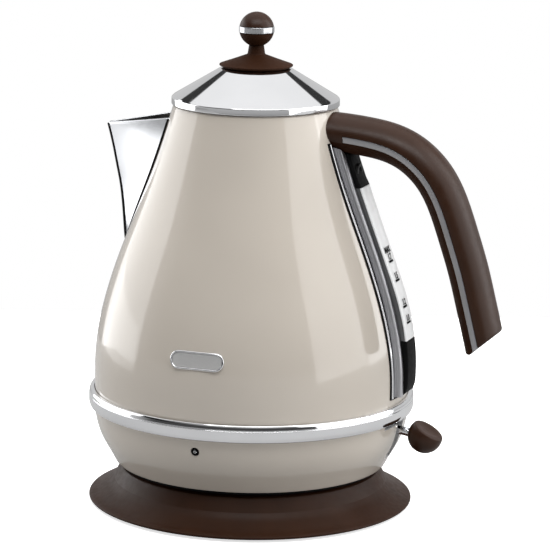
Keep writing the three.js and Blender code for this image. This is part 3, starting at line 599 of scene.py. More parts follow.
def turned(name, outline, finish, steps=160, centre=None):
    """A turned piece from an outline in millimetres."""
    outline = counter_clockwise(list(outline))
    touches = [i for i, p in enumerate(outline) if p[0] < 1e-3]
    if touches:
        # the loop is opened on the axis, so that it starts low and ends high
        start = next(i for i in touches if outline[(i + 1) % len(outline)][0] > 1e-3)
        outline = outline[start:] + outline[:start]
    else:
        outline = outline + outline[:1]
    x, y = centre or (AXIS_X, 0)
    points = [(r * MM, 0, z * MM) for r, z in outline]
    return run_tree(name, turn_on_axis, {
        "Steps Round": steps, "Axis X": x, "Axis Y": y, "Finish": finish}, points)


# %% Aim a turned piece
def turned_at(name, outline, finish, direction, place, steps=48):
    """A piece turned about the origin, then pointed along a direction and set in its place."""
    piece = turned(name, outline, finish, steps, (0, 0))
    turn = Vector((0, 0, 1)).rotation_difference(Vector(direction).normalized()).to_matrix().to_4x4()
    piece.data.transform(Matrix.Translation(Vector(to_frame(place))) @ turn)
    return piece


def rod(start, end, radius):
    """A plain round tool, used to cut holes."""
    along = Vector(end) - Vector(start)
    outline = [(0, 0), (radius, 0), (radius, along.length), (0, along.length)]
    return turned_at("rod", outline, enamel, along, start, 32)


# %% [markdown]
# ## From sections to a skin
# The spout, handle and gauge aren't turned. Each is a row of sections with the same number
# of points, joined into a skin and closed at its ends.


# %% Skins
def new_piece(name, points, faces, finish):
    mesh = bpy.data.meshes.new(name)
    mesh.from_pydata([to_frame(p) for p in points], [], faces)
    mesh.materials.append(finish)
    return put(name, mesh)


def skin_faces(rows, count, caps):
    """Faces between closed rows of points, and over the first and last row."""
    faces = []
    for i in range(rows - 1):
        for j in range(count):
            a, b = i * count + j, i * count + (j + 1) % count
            faces.append((a, b, b + count, a + count))
    if caps:
        faces.append(tuple(reversed(range(count))))
        faces.append(tuple(range((rows - 1) * count, rows * count)))
    return faces


def outward(piece):
    mesh = bmesh.new()
    mesh.from_mesh(piece.data)
    bmesh.ops.remove_doubles(mesh, verts=mesh.verts, dist=1e-6)
    bmesh.ops.recalc_face_normals(mesh, faces=mesh.faces)
    mesh.to_mesh(piece.data)
    mesh.free()
    return piece


def skin(name, sections, finish, caps=True):
    points = [tuple(p) for section in sections for p in section]
    return outward(new_piece(name, points, skin_faces(len(sections), len(sections[0]), caps), finish))


def cut_away(piece, *tools):
    """Takes the tools' shapes out of a piece, and drops the tools."""
    for tool in tools:
        modifier = piece.modifiers.new("cut", "BOOLEAN")
        modifier.operation = "DIFFERENCE"
        modifier.solver = "EXACT"
        modifier.object = tool
    bake(piece)
    for tool in tools:
        bpy.data.objects.remove(tool)
    return piece


def block(x0, x1, y0, y1, z0, z1):
    corners = [[(x, y0, z), (x, y1, z)] for x, z in ((x0, z0), (x1, z0), (x1, z1), (x0, z1))]
    return skin("block", [[c[0] for c in corners], [c[1] for c in corners]], black)


# %% [markdown]
# ## The jug's outline
# The jug is drawn from one sheet of steel, so its side is one fair curve: upright above the
# belt, leaning in, then nearly straight to the mouth. A cubic through a few measured rings
# gives that. Every piece that sits on the jug asks the curve for its radius.

# %% Jug outline
JUG_RINGS = [(90.6, 60.4), (90.65, 70), (90.5, 86), (86.8, 111), (79.6, 136.5), (70.2, 162), (60.6, 187),
             (52.3, 212), (46.6, 231)]
JUG_WALL = 1.2
jug_low, jug_high = (v.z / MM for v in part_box("body_shell"))
jug_curve = spline(JUG_RINGS, 500)


def jug_radius(z):
    return float(np.interp(z, jug_curve[:, 1], jug_curve[:, 0]))


print("the jug runs from", round(jug_low, 1), "to", round(jug_high, 1), "mm")

# %% [markdown]
# ### The jug's shell
# The outline goes up the outside, over a small rolled lip and down the inside, a sheet's
# thickness away. Turning it gives a real wall, so the inside shows when the lid is lifted.
# The pouring hole behind the spout and the gauge's two ports are then cut out.


# %% Jug shell
def make_jug_shell():
    lip = JUG_WALL / 2
    levels = np.linspace(jug_low, jug_high - lip, 72)
    outside = [(jug_radius(z), z) for z in levels]
    roll = arc((jug_radius(jug_high) - lip, jug_high - lip), lip, 10, 170, 7)
    inside = [(jug_radius(z) - JUG_WALL, z) for z in levels[::-1]]
    shell = turned("jug_shell", outside + roll + inside, enamel, 192)
    hole = [[(-100, -h, z), (-30, -h, z), (-30, h, z), (-100, h, z)]
            for z, h in ((156, 6), (170, 11.5), (190, 15.5), (214, 15.8))]
    ports = [rod((40, 0, z), (100, 0, z), 3) for z in (84, 197)]
    cut_away(shell, skin("pour_hole", hole, enamel), *ports)
    settle(shell, "jug", "enamel", "body_shell")


make_jug_shell()

# %% [markdown]
# ### Collar, belt and skirt
# A black collar inside the mouth carries the lid. The chromed belt hides the joint between
# the jug and the skirt below it, and has a fine groove rolled into its upper half. The skirt
# is enamelled like the jug and tapers in to the base.


# %% Jug rings
def make_collar_and_belt():
    low, high = (v.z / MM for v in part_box("mouth_collar"))
    collar = [(42.6, low, 0.5), (44.9, low, 0.5), (44.9, high, 0.3), (42.6, high, 0.6)]
    settle(turned("mouth_ring", rounded(collar), black, 128), "jug", "black", "mouth_collar")
    low, high = (v.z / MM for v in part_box("belt_ring"))
    belt = [(91, low), (93.2, low, 1.2), (94, low + 2.4, 3), (94, high - 3.3, 0.3), (93.55, high - 3.0, 0.2),
            (93.9, high - 2.6, 0.3), (93.6, high - 1.2, 1), (92.9, high, 0.7), (91, high)]
    settle(turned("belt", rounded(belt, 6), chrome, 192), "jug", "chrome", "belt_ring")


SKIRT_RINGS = [(78.5, 24.6), (82.2, 31.3), (86.2, 38.4), (88.9, 45.5), (90.5, 52.6), (91.3, 56.2)]
skirt_curve = spline(SKIRT_RINGS, 120)


def skirt_radius(z):
    return float(np.interp(z, skirt_curve[:, 1], skirt_curve[:, 0]))


def make_skirt():
    outside = [tuple(p) for p in skirt_curve[3:]]
    rim = [(90.4, 56.3), (90.4, 59.8), (88.4, 59.8), (88.4, 54)]
    inside = [(r - 2.2, z + 0.8) for r, z in skirt_curve[::-1] if 27 < z < 53]
    foot = rounded([(76.9, 26), (76.9, 24.4, 0.4), (78.3, 24.4, 0.5), (79, 25.5)], 5, closed=False)
    skirt = turned("skirt", foot + outside + rim + inside, enamel, 192)
    lamp_hole = rod((0, -80, 49.0), (0, -96, 49.55), 2.5)
    cut_away(skirt, block(80, 100, -5, 5, 33, 70), block(80, 100, -22, 22, 53.8, 70), lamp_hole)
    settle(skirt, "jug", "enamel", "lower_skirt")


make_collar_and_belt()
make_skirt()

# %% [markdown]
# ### Inside the jug and under it
# The heated floor, its seal and the underplate are seen when the lid is off or the jug is
# lifted. They are turned in the same way, from short outlines.


# %% Floor and underplate
def make_jug_floor():
    dish = [(0, 69), (86, 69, 0.4), (86, 70.2, 0.5), (74, 70.2, 3), (70, 69.7, 3), (0, 69.7)]
    settle(turned("heated_floor", rounded(dish), steel, 160), "jug", "steel", "heater_plate")
    seal = [(86.3, 67.8, 0.3), (88.9, 67.8, 0.3), (88.9, 71.4, 0.8), (86.3, 71.4, 0.8)]
    settle(turned("floor_seal", rounded(seal), rubber, 160), "jug", "rubber", "heater_seal")
    plate = [(17.2, 22.6, 0.4), (30, 22.6), (31, 23.1), (58, 23.1), (59, 22.6), (76.4, 22.6, 0.6),
             (76.4, 25, 0.3), (17.2, 25, 0.4)]
    plate = turned("underplate", rounded(plate), black, 160)
    sinks = [rod((68 * math.cos(a), 68 * math.sin(a), 20), (68 * math.cos(a), 68 * math.sin(a), 23.8), 3.4)
             for a in np.radians((30, 150, 270))]
    settle(cut_away(plate, *sinks), "jug", "black", "kettle_underplate")


make_jug_floor()

# %% [markdown]
# ## Round the axis: screws and feet
# Three screws and four feet repeat at equal steps round the axis. One shape is turned about
# its own axis, and a small tree puts a copy on each point of a ring.


# %% Ring tree
def ring_tree():
    tree = bpy.data.node_groups.new("copies_round_axis", "GeometryNodeTree")
    given = add_sockets(tree, {"Shape": "NodeSocketGeometry", "Copies": "NodeSocketInt",
                               "Ring Radius": "NodeSocketFloat", "First Angle": "NodeSocketFloat",
                               "Centre": "NodeSocketVector", "Finish": "NodeSocketMaterial"})
    copies = given["Copies"]
    points = copies.node("GeometryNodePoints", inputs={"Count": copies})
    index = points.node("GeometryNodeInputIndex")
    angle = index / copies * math.tau + given["First Angle"]
    x = given["Ring Radius"] * angle.maths("COSINE", angle)
    y = given["Ring Radius"] * angle.maths("SINE", angle)
    spot = x.node("ShaderNodeCombineXYZ", inputs={0: x, 1: y})
    spot = spot.node("ShaderNodeVectorMath", {"operation": "ADD"}, {0: spot, 1: given["Centre"]})
    turn = angle.node("ShaderNodeCombineXYZ", inputs={2: angle})
    turn = turn.node("FunctionNodeEulerToRotation", inputs={0: turn})
    placed = points.node("GeometryNodeSetPosition", inputs={"Geometry": points, "Position": spot})
    many = placed.node("GeometryNodeInstanceOnPoints", inputs={
        "Points": placed, "Instance": given["Shape"], "Rotation": turn})
    close_tree(many, given["Finish"])
    return tree


copies_round_axis = ring_tree()


def copies(name, shape, count, radius, first, height, finish):
    """Copies of a shape, made about the origin, on a ring round the kettle's axis."""
    modifier = shape.modifiers.new("ring", "NODES")
    modifier.node_group = copies_round_axis
    set_inputs(modifier, {"Copies": count, "Ring Radius": radius * MM, "First Angle": math.radians(first),
                          "Centre": (AXIS_X, 0, height * MM), "Finish": finish})
    shape.name = name
    return bake(shape)


def screw_shape(head, shank, length):
    """A pan-head screw with a cross recess, its head below zero."""
    outline = [(0, -0.8), (head * 0.6, -0.8, 1), (head, -0.1, 0.6), (head, 0), (shank, 0, 0.2),
               (shank, length), (0, length)]
    screw = turned("screw", rounded(outline, 3), steel, 32, (0, 0))
    for wide, deep in ((0.45, 1.7), (1.7, 0.45)):
        cut_away(screw, block(-wide - AXIS_X / MM, wide - AXIS_X / MM, -deep, deep, -2, -0.25))
    return screw


def make_screws_and_feet():
    under = copies("underplate_screws", screw_shape(2.9, 1.5, 9), 3, 68, 30, 23.6, steel)
    settle(under, "jug", "steel", *(f"underplate_screw_{i}" for i in (1, 2, 3)))
    low = copies("base_screws", screw_shape(2.9, 1.5, 9), 3, 66, 30, 1.3, steel)
    settle(low, "power_base", "steel", *(f"base_screw_{i}" for i in (1, 2, 3)))
    foot = [(0, 0), (5.4, 0, 0.4), (6, 0.9, 0.4), (6, 1.1), (2, 1.1), (2, 4.2), (0, 4.2)]
    foot = copies("feet", turned("foot", rounded(foot), rubber, 32, (0, 0)), 4, 76, 45, 0, rubber)
    settle(foot, "power_base", "rubber", *(f"foot_{i}" for i in (1, 2, 3, 4)))


make_screws_and_feet()

# %% [markdown]
# ## The power base
# One brown moulding: a thin rim, a flange that rises in a shallow hollow curve to a crisp
# crease, then a steep short wall and a flat top. The cord leaves through a notch at the back.


# %% Base
def make_base_cover():
    flange = spline([(93.2, 3.4), (89.4, 5.0), (85.8, 7.2), (81.2, 10.6), (79.4, 12.6)], 16)
    outside = [(92.3, 1.4, 0.5), (93.7, 2.0, 0.8), (93.65, 3.0, 0.5)] + [tuple(p) for p in flange[1:-1]]
    outside += [(79.1, 12.9, 0.35), (75.1, 20.6, 1.2), (72.8, 21.6, 1.5), (14.2, 21.6, 0.6)]
    inside = [(14.2, 19.6, 0.3), (72.2, 19.6, 1), (77, 11.4, 0.5), (84.6, 5.4, 4), (89.6, 3.2, 1),
              (89.6, 1.4, 0.3)]
    cover = turned("base_top", rounded(outside + inside), base_brown, 192)
    cut_away(cover, rod((0, 84, 3.2), (0, 97, 3.2), 4.2), block(-4.2, 4.2, 84, 97, -1, 3.2))
    settle(cover, "power_base", "brown", "base_cover")


def make_base_bottom():
    plate = [(0, 1.4), (34, 1.4, 0.4), (34, 11.4, 1), (56, 11.4, 1), (56, 1.4, 0.4), (88.5, 1.4, 0.3),
             (88.5, 3.2, 0.3), (58, 3.2, 0.5), (58, 13.2, 1), (32, 13.2, 1), (32, 3.2, 0.5), (0, 3.2)]
    plate = turned("base_bottom", rounded(plate), black, 160)
    cut_away(plate, block(-4.2, 4.2, 54, 92, -1, 8), rod((0, 29, 8), (0, 37, 8), 4.3))
    settle(plate, "power_base", "black", "base_underplate")
    gland = rounded([(3.2, 0, 0.3), (4.7, 0, 0.3), (4.7, 1.2), (4, 1.2), (4, 6.2, 0.4), (3.2, 6.2, 0.3)])
    gland = turned_at("cord_gland", gland, rubber, (0, 1, 0), (0, 30, 8))
    settle(gland, "power_base", "rubber", "cord_inlet")


def make_connector():
    post = [(0, 12), (12, 12), (12, 17.2), (18, 17.2), (18, 19.2, 0.3), (13.5, 19.2, 0.5), (13.5, 36, 1.2),
            (8.6, 36, 0.5), (8.6, 20), (5.4, 20), (5.4, 36, 0.5), (2.6, 36, 0.5), (2.6, 20), (0, 20)]
    settle(turned("connector", rounded(post), black, 96), "power_base", "black", "connector_post")
    for name, node, inner, outer, top in (("outer_contact", "contact_sleeve_outer", 7.7, 8.3, 30),
                                          ("inner_contact", "contact_sleeve_inner", 5.7, 6.3, 30),
                                          ("earth_contact", "earth_sleeve", 1.6, 2.3, 32)):
        ring = rounded([(inner, 20.3), (outer, 20.3), (outer, top, 0.15), (inner, top, 0.25)])
        settle(turned(name, ring, brass, 64), "power_base", "brass", node)


def make_socket():
    cup = [(0, 38.5), (14.2, 38.5, 0.5), (14.2, 23, 0.6), (16.6, 23, 0.6), (16.6, 40.5, 0.4), (0, 40.5)]
    settle(turned("socket_cup", rounded(cup), black, 96), "socket", "black", "kettle_socket")
    ring = rounded([(6.6, 22, 0.2), (7.3, 22, 0.2), (7.3, 38.2), (6.6, 38.2)])
    settle(turned("socket_ring", ring, brass, 64), "socket", "brass", "socket_contact_ring")
    pin = rounded([(0, 21.5), (1.2, 21.5, 0.8), (1.2, 38.2), (0, 38.2)])
    settle(turned("socket_pin", pin, brass, 32), "socket", "brass", "socket_earth_pin")


make_base_cover()
make_base_bottom()
make_connector()
make_socket()

# %% [markdown]
# ## The lid
# A polished cone with a short upright band, over a black plug with a rubber seal. The knob
# stands on a brown saucer and a thin neck: a ball in two halves with a chrome band between.


# %% Lid
def make_lid():
    cover = [(46.4, 231.4, 0.2), (47.8, 231.4, 0.4), (47.8, 235.0, 0.8), (46.9, 235.9, 0.6), (20.2, 252, 0.4),
             (2.4, 252), (2.4, 250.6), (19.8, 250.6, 0.3), (46.0, 234.5, 0.3), (46.4, 234.0)]
    settle(turned("lid_cone", rounded(cover), chrome, 192), "lid", "chrome", "lid_cover")
    plug = [(0, 214), (40.5, 214, 1.2), (40.5, 231.2), (45.9, 231.2, 0.2), (45.9, 232.6, 0.3),
            (38.9, 232.6, 0.3), (38.9, 215.6, 1), (0, 215.6)]
    settle(turned("lid_plug", rounded(plug), black, 128), "lid", "black", "lid_inner")
    seal = [(40.8, 223.4, 0.2), (42.2, 224.0, 0.5), (42.2, 225.4, 0.5), (40.8, 226, 0.2)]
    settle(turned("lid_gasket", rounded(seal), rubber, 128), "lid", "rubber", "lid_seal")


BALL_MIDDLE, BALL_RADIUS = 274, 9.9


def ball(low, high):
    angles = [math.degrees(math.asin(max(-1, min(1, (z - BALL_MIDDLE) / BALL_RADIUS)))) for z in (low, high)]
    return [(max(r, 0), z) for r, z in arc((0, BALL_MIDDLE), BALL_RADIUS, *angles, 18)]


def make_knob():
    saucer = [(2.2, 252.4), (19.0, 252.4, 0.3), (20.9, 253.5, 0.3), (20.9, 254.1, 0.5), (13, 256.9, 20),
              (5.0, 259.9, 1.2), (4.25, 264.8), (2.2, 264.8)]
    settle(turned("saucer", rounded(saucer), dull_brown, 128), "lid", "brown", "knob_saucer")
    lower = [(0, 272), (2.2, 272), (2.2, 265.1)] + ball(265.1, 272.0)
    settle(turned("lower_ball", lower, dull_brown, 96), "lid", "brown", "knob_ball_lower")
    upper = [(0, 280), (2.2, 280), (2.2, 276)] + ball(276.0, 283.9)
    settle(turned("upper_ball", upper, brown, 96), "lid", "brown", "knob_ball_upper")
    band = rounded([(2.2, 272.3), (10.05, 272.3, 0.35), (10.05, 275.7, 0.35), (2.2, 275.7)])
    settle(turned("ball_band", band, polished, 96), "lid", "chrome", "knob_band")


make_lid()
make_knob()

# %% [markdown]
# ## The spout
# A pressed and polished beak: flat sides run from the jug to a rounded ridge, and the rim
# is one straight slope. At each height the section is known, so the skin is a grid. Every
# column of the grid ends exactly on the rim's slope, rolls over it, and goes down inside,
# where the unpolished metal is drawn near black, as painted shade of the hollow. A thin
# dark bead down both edges to the jug is painted shadow of the joint's gap, and a dark strip
# down the ridge, shaped as a folded hem, is a painted dark reflection.

# %% Spout
SPOUT_LEVELS = np.array([  # height, ridge distance from the axis, half width on the jug
    (140, 77.6, 1), (145, 78.4, 6), (150, 79.0, 9), (160, 79.8, 13), (170, 80.7, 16), (181, 82.2, 18.4),
    (190, 84.1, 20), (199, 86, 20.6), (207, 87.9, 20.6), (215, 90.1, 20.3), (226, 93.4, 20)])
spout_curve = spline(SPOUT_LEVELS, 300)
SPOUT_TIP, SPOUT_BACK = (-90.1, 214.9), (-44.9, 222.5)
SPOUT_WALL = 1.3
NOSE_RADIUS = 3


def spout_ridge(z):
    return -np.interp(z, spout_curve[:, 0], spout_curve[:, 1])


def spout_row(z, inset, side=12, nose_steps=17):
    """One level of the spout, from one side of the jug round the ridge to the other."""
    ridge = spout_ridge(z) + inset
    half = max(np.interp(z, spout_curve[:, 0], spout_curve[:, 2]) - inset, 0.25)
    foot = -math.sqrt((jug_radius(z) - 0.5) ** 2 - half ** 2)
    nose = min(NOSE_RADIUS - inset * 0.6, half * 0.6)
    slope = math.atan2(half - nose, max(foot - ridge, 0.5))
    nose_arc = [(ridge + nose - nose * math.cos(a), nose * math.sin(a))
                for a in np.linspace(math.pi / 2 - slope, slope - math.pi / 2, nose_steps)]
    start, end = np.array((foot, half)), np.array(nose_arc[0])
    first = [tuple(start + (end - start) * t) for t in np.linspace(0, 1, side, endpoint=False)]
    last = [(x, -y) for x, y in first[::-1]]
    return first + nose_arc + last


def rim_height(x):
    (x0, z0), (x1, z1) = SPOUT_TIP, SPOUT_BACK
    return z0 + (x - x0) * (z1 - z0) / (x1 - x0)


def spout_column(j, inset, low, steps=44):
    """The points of one column, from low up to the rim."""
    top = 218.0
    for _ in range(8):
        top = rim_height(spout_row(top, inset)[j][0])
    return [(*spout_row(z, inset)[j], z) for z in low + (top - low) * np.linspace(0, 1, steps) ** 0.9]


def make_spout():
    sections = []
    for j in range(len(spout_row(200, 0))):
        outer, inner = spout_column(j, 0, 139.5), spout_column(j, SPOUT_WALL, 149)
        a, b = Vector(outer[-1]), Vector(inner[-1])
        middle, arm = (a + b) / 2, (a - b) / 2
        roll = [tuple(middle + arm * math.cos(t) + Vector((0, 0, arm.length)) * math.sin(t))
                for t in np.linspace(0, math.pi, 7)[1:-1]]
        sections.append(outer + roll + inner[::-1])
    beak = skin("beak", sections, polished)
    # The inside of the spout is drawn near black: painted shade of the hollow, on unpolished steel.
    beak.data.materials.append(painted_shade_steel)
    ring = len(sections[0])
    for face in beak.data.polygons:
        if face.index < ring * (len(sections) - 1) and face.index % ring > ring // 2 + 2:
            face.material_index = 1
    settle(beak, "jug", "chrome", "spout")


def circle(steps):
    return np.linspace(0, math.tau, steps + 1)[:-1]


def make_painted_joint_shadow(name, side, radius=0.9, proud=0.3):
    """A thin dark bead down one edge of the spout, where it meets the jug: painted shadow of the gap at the
    joint.
    """
    rows = []
    for z in np.linspace(141, 222.3, 60):
        y = spout_row(z, 0)[side][1]
        foot = Vector((-math.sqrt(jug_radius(z) ** 2 - y ** 2), y, z))
        out = Vector((foot.x, foot.y, 0)).normalized()
        along = Vector((-out.y, out.x, 0))
        rows.append([tuple(foot + out * proud + (out * math.cos(a) + along * math.sin(a)) * radius)
                     for a in circle(8)])
    settle(skin(name, rows, black), "jug", "black")


def make_painted_ridge_reflection(deep=1.3, wide=2.3, inset=0.3):
    """A dark strip down the spout's ridge, from just under the tip: a painted dark reflection, shaped as a
    folded hem.
    """
    rows = [[(spout_ridge(z) + inset + deep * math.cos(a), wide * math.sin(a), z) for a in circle(12)]
            for z in np.linspace(142, 214.4, 60)]
    settle(skin("spout_painted_ridge_reflection", rows, black), "jug", "black")


make_spout()
# Painted shadow: dark beads down both edges where the spout meets the jug.
make_painted_joint_shadow("spout_painted_joint_shadow_front", 0)
make_painted_joint_shadow("spout_painted_joint_shadow_back", -1)
# Painted dark reflection: a dark strip down the spout's ridge.
make_painted_ridge_reflection()

# %% [markdown]
# ## The handle
# Two brown half shells are clamped round a flat satin strip. All three follow one curved
# line, so each is a section carried along that line. Every point of the section starts
# where it meets the jug and ends on the slanting cut at the free end, which makes both ends
# fit without a boolean. The last few sections shrink a little to round the cut's edge.

# %% Handle line
HANDLE_LINE = [(44, 218.9), (52.1, 218.5), (67.2, 217.1), (81.2, 214.5), (92.4, 209.8), (100.2, 204.1),
               (106.7, 197.2), (112.1, 188.8), (117.1, 177.7), (122, 164.1), (128.1, 145.7), (132.5, 129.3),
               (137.5, 109.9), (141.5, 93)]
HANDLE_CUT = (138.6, 104.25, 41)
HANDLE_PLACES = 500
handle_line = spline(HANDLE_LINE, HANDLE_PLACES)
handle_along = np.gradient(handle_line, axis=0)
handle_along /= np.linalg.norm(handle_along, axis=1)[:, None]


def handle_track(n, y):
    """Where a point of the section goes, at every place along the handle."""
    out = np.column_stack([-handle_along[:, 1], handle_along[:, 0]])
    x, z = (handle_line + out * n).T
    return np.column_stack([x, np.full(len(x), y), z])


def beyond_cut(track, n):
    """How far the track is inside the slanting cut at the free end; below zero is outside."""
    x, z, tilt = HANDLE_CUT
    tilt = math.radians(tilt)
    corner = 2.2 * max(0.0, (-n - 5) / 6) ** 2
    return (track[:, 2] - z) * math.cos(tilt) - (track[:, 0] - x) * math.sin(tilt) - corner


def handle_skin(name, outline, finish, start_x=None, end_x=None, rows=96, edge=1.3):
    """A section carried along the handle line, from the jug or start_x to the cut or end_x."""
    outline = np.array(outline)
    ahead, behind = np.roll(outline, -1, axis=0), np.roll(outline, 1, axis=0)
    normal = np.column_stack([(ahead - behind)[:, 1], -(ahead - behind)[:, 0]])
    normal /= np.linalg.norm(normal, axis=1)[:, None]
    if np.sum(normal * (outline - outline.mean(axis=0))) < 0:
        normal = -normal

    def stations(points, back_off):
        result = []
        for n, y in points:
            track = handle_track(n, y)
            reach = np.hypot(track[:, 0], y) - np.array([jug_radius(z) for z in track[:, 2]]) + 0.3
            begin = np.argmax(reach > 0 if start_x is None else track[:, 0] > start_x)
            inside = beyond_cut(track, n) - back_off if end_x is None else end_x - track[:, 0]
            last = len(inside) - 1 - np.argmax(inside[::-1] > 0)
            step = inside[last] / (inside[last] - inside[last + 1])
            result.append((begin, last + step, track))
        return result

    def at(track, place):
        return tuple(np.interp(place, np.arange(HANDLE_PLACES), track[:, i]) for i in range(3))

    tracks = stations(outline, edge)
    sections = [[at(t, a + (b - a) * s) for a, b, t in tracks] for s in np.linspace(0, 1, rows)]
    if end_x is None:
        for turn in np.linspace(0, math.pi / 2, 7)[1:]:
            drawn_in = outline - normal * edge * (1 - math.cos(turn))
            tracks = stations(drawn_in, edge * (1 - math.sin(turn)))
            sections.append([at(t, b) for a, b, t in tracks])
    return skin(name, sections, finish)


# %% Handle
HANDLE_DEEP, HANDLE_WIDE = 11, 15


def oval_part(low, high, grow=0.0, corner=0.5, count=25):
    """The part of the handle's oval between two distances from its middle line."""
    deep, wide = HANDLE_DEEP + grow, HANDLE_WIDE + grow
    start, end = (math.asin(max(-1, min(1, v / deep))) for v in (low, high))
    side = [(deep * math.sin(a), wide * math.cos(a)) for a in np.linspace(start, end, count)]
    other = [(n, -y) for n, y in side[::-1]]
    ends = {i: corner for i in (0, count - 1) if abs(side[i][1]) > 1e-3}
    points = [(*p, ends.get(i, 0)) for i, p in enumerate(side)]
    points += [(*p, ends.get(count - 1 - i, 0)) for i, p in enumerate(other) if abs(p[1]) > 1e-3]
    return rounded(points, 4)


def make_handle():
    outer = handle_skin("handle_outer", oval_part(0.3, 11), brown)
    settle(outer, "jug", "brown", "handle_outer_shell")
    inner = handle_skin("handle_inner", oval_part(-11, -3.3), dull_brown)
    settle(inner, "jug", "brown", "handle_inner_shell")
    strip = handle_skin("handle_strip", oval_part(-3.15, 0.15, 0.12, 0.3), satin, start_x=57.2, edge=0.6)
    settle(strip, "jug", "chrome", "handle_trim_band")
    bridge = handle_skin("handle_root", oval_part(-3.5, 0.5, -0.02, 0), brown, end_x=57.1, rows=24)
    settle(bridge, "jug", "brown")


make_handle()

# %% [markdown]
# ## The water gauge
# A long frame follows the jug on the handle's side. From the edge inwards there is a black
# gasket line, a chrome bead, a second black line and a raised panel whose side has fine
# steps. A clear tube stands in the panel, drawn dark as painted shade of the jug's inside
# behind it, with a milky scale in front that has a faint painted glow, and black caps.
# All of these are one kind of skin: a section given as sideways distance and distance out
# from the jug, carried up the jug's own curve.

# %% Gauge skin
GAUGE_LOW, GAUGE_HIGH = 71, 214
WINDOW_LOW, WINDOW_HIGH = 103, 189
WINDOW_FACE = np.array([  # height, how far the face stands out from the jug
    (71, 2.0), (71.6, 3.2), (73, 4.8), (76, 5.9), (79, 6.3), (84, 6.5), (94, 7.0), (100, 7.2), (111, 7.8),
    (128, 7.7), (147, 7.0), (165, 6.9), (177, 7.1), (189, 7.1), (193, 6.4), (205, 6.0), (214, 5.6)])
ROOT_HALF_WIDTH, ROOT_HALF_HEIGHT, ROOT_MIDDLE = 15.5, 11.6, 217.6


def face_out(z):
    return float(np.interp(z, WINDOW_FACE[:, 0], WINDOW_FACE[:, 1]))


def on_jug(y, z, out):
    return (math.sqrt(jug_radius(z) ** 2 - y ** 2) + out, y, z)


def under_handle(y):
    """The height at which the gauge has to stop below the handle's root."""
    if abs(y) >= ROOT_HALF_WIDTH:
        return GAUGE_HIGH
    return min(GAUGE_HIGH, ROOT_MIDDLE - ROOT_HALF_HEIGHT * math.sqrt(1 - (y / ROOT_HALF_WIDTH) ** 2))


def both_sides(half):
    return list(half) + [(-y, out) for y, out in reversed(half)]


def gauge_skin(name, section, low, high, finish, rows=70):
    """A section carried up the jug, each of its points as far as the handle's root lets it go."""
    sections = []
    for s in np.linspace(0, 1, rows):
        tops = [min(high, under_handle(y)) for y, _ in section(high - 5)]
        levels = [low + (top - low) * s for top in tops]
        spots = [(*section(z)[j], z) for j, z in enumerate(levels)]
        sections.append([on_jug(y, z, out) for y, out, z in spots])
    return skin(name, sections, finish)


def flange_half(z):
    t = min(1, max(0, (z - GAUGE_LOW) / (GAUGE_HIGH - GAUGE_LOW)))
    return 16.6 + 1.1 * math.sin(math.pi * t) ** 0.8


# %% Gauge frame
def half_section(points):
    return lambda z: both_sides([(y(z) if callable(y) else y, out(z) if callable(out) else out)
                                 for y, out in points])


def bead_section(side):
    def section(z):
        edge = flange_half(z) - 0.9
        wide, tall, foot = 0.95, 0.7, 0.55
        top = [(edge - wide + wide * math.cos(a), foot + tall * math.sin(a))
               for a in np.linspace(0, math.pi, 13)]
        return [(side * y, out) for y, out in top + [(edge - 2 * wide, 0.1), (edge, 0.1)]]
    return section


def make_gauge_frame():
    gasket = half_section([(flange_half, -0.4), (flange_half, 0.5),
                           (lambda z: flange_half(z) - 0.4, 0.8), (9, 0.8)])
    settle(gauge_skin("gauge_gasket", gasket, GAUGE_LOW - 0.6, GAUGE_HIGH, black), "jug", "black")
    for side, name in ((-1, "gauge_bead_front"), (1, "gauge_bead_back")):
        settle(gauge_skin(name, bead_section(side), GAUGE_LOW, GAUGE_HIGH - 0.4, chrome, 160), "jug", "chrome")
    stepped = [(13.4, 0.4), (13.4, 1.6), (13.1, 1.7), (13.1, 2.7), (12.8, 2.8), (12.8, 3.7), (12.4, 4.2),
               (12.0, 4.4), (9.2, 4.4), (8.7, 4.1), (8.6, 3.6), (8.6, 0.4)]
    panel = gauge_skin("gauge_panel", half_section(stepped), GAUGE_LOW + 0.8, GAUGE_HIGH, pale_satin)
    settle(panel, "jug", "chrome", "gauge_frame")


make_gauge_frame()


# %% Gauge tube, scale and caps
def face_section(half, low_out, drop=0.0, corner=1.1):
    def section(z):
        top = face_out(z) - drop
        bend = [(half - corner + corner * math.cos(a), top - corner + corner * math.sin(a))
                for a in np.linspace(0, math.pi / 2, 6)]
        return both_sides([(half, low_out)] + bend)
    return section


def make_gauge_tube():
    # The tube's dark tone is painted shade of the jug's inside; the scale's faint glow is painted light passing
    # through it.
    tube = gauge_skin("gauge_tube", face_section(8, 1.1, 0.5), WINDOW_LOW + 0.3, WINDOW_HIGH - 0.3, painted_shade_tube)
    settle(tube, "jug", "clear", "gauge_window")
    scale = [(7.7, -0.9), (7.7, -0.15), (7.4, 0)]
    settle(gauge_skin("gauge_scale", half_section([(y, lambda z, o=o: face_out(z) + o) for y, o in scale]),
                      WINDOW_LOW + 0.3, WINDOW_HIGH - 0.3, milky_painted_glow), "jug", "clear")
    cap = gauge_skin("gauge_cap_high", face_section(8.3, 0.5, -0.1), WINDOW_HIGH, GAUGE_HIGH, black, 24)
    settle(cap, "jug", "black", "gauge_cap_top")
    cap = gauge_skin("gauge_cap_low", face_section(8.3, 0.5, -0.1), GAUGE_LOW + 1, WINDOW_LOW, black, 40)
    settle(cap, "jug", "black", "gauge_cap_bottom")


make_gauge_tube()

# %% [markdown]
# ### The printed scale
# Four lines with plain litre numbers and a word for the highest level are printed on the
# scale. They are flat shapes a twentieth of a millimetre proud, bent onto the scale's face.


# %% Scale print
INK_PROUD = 0.05


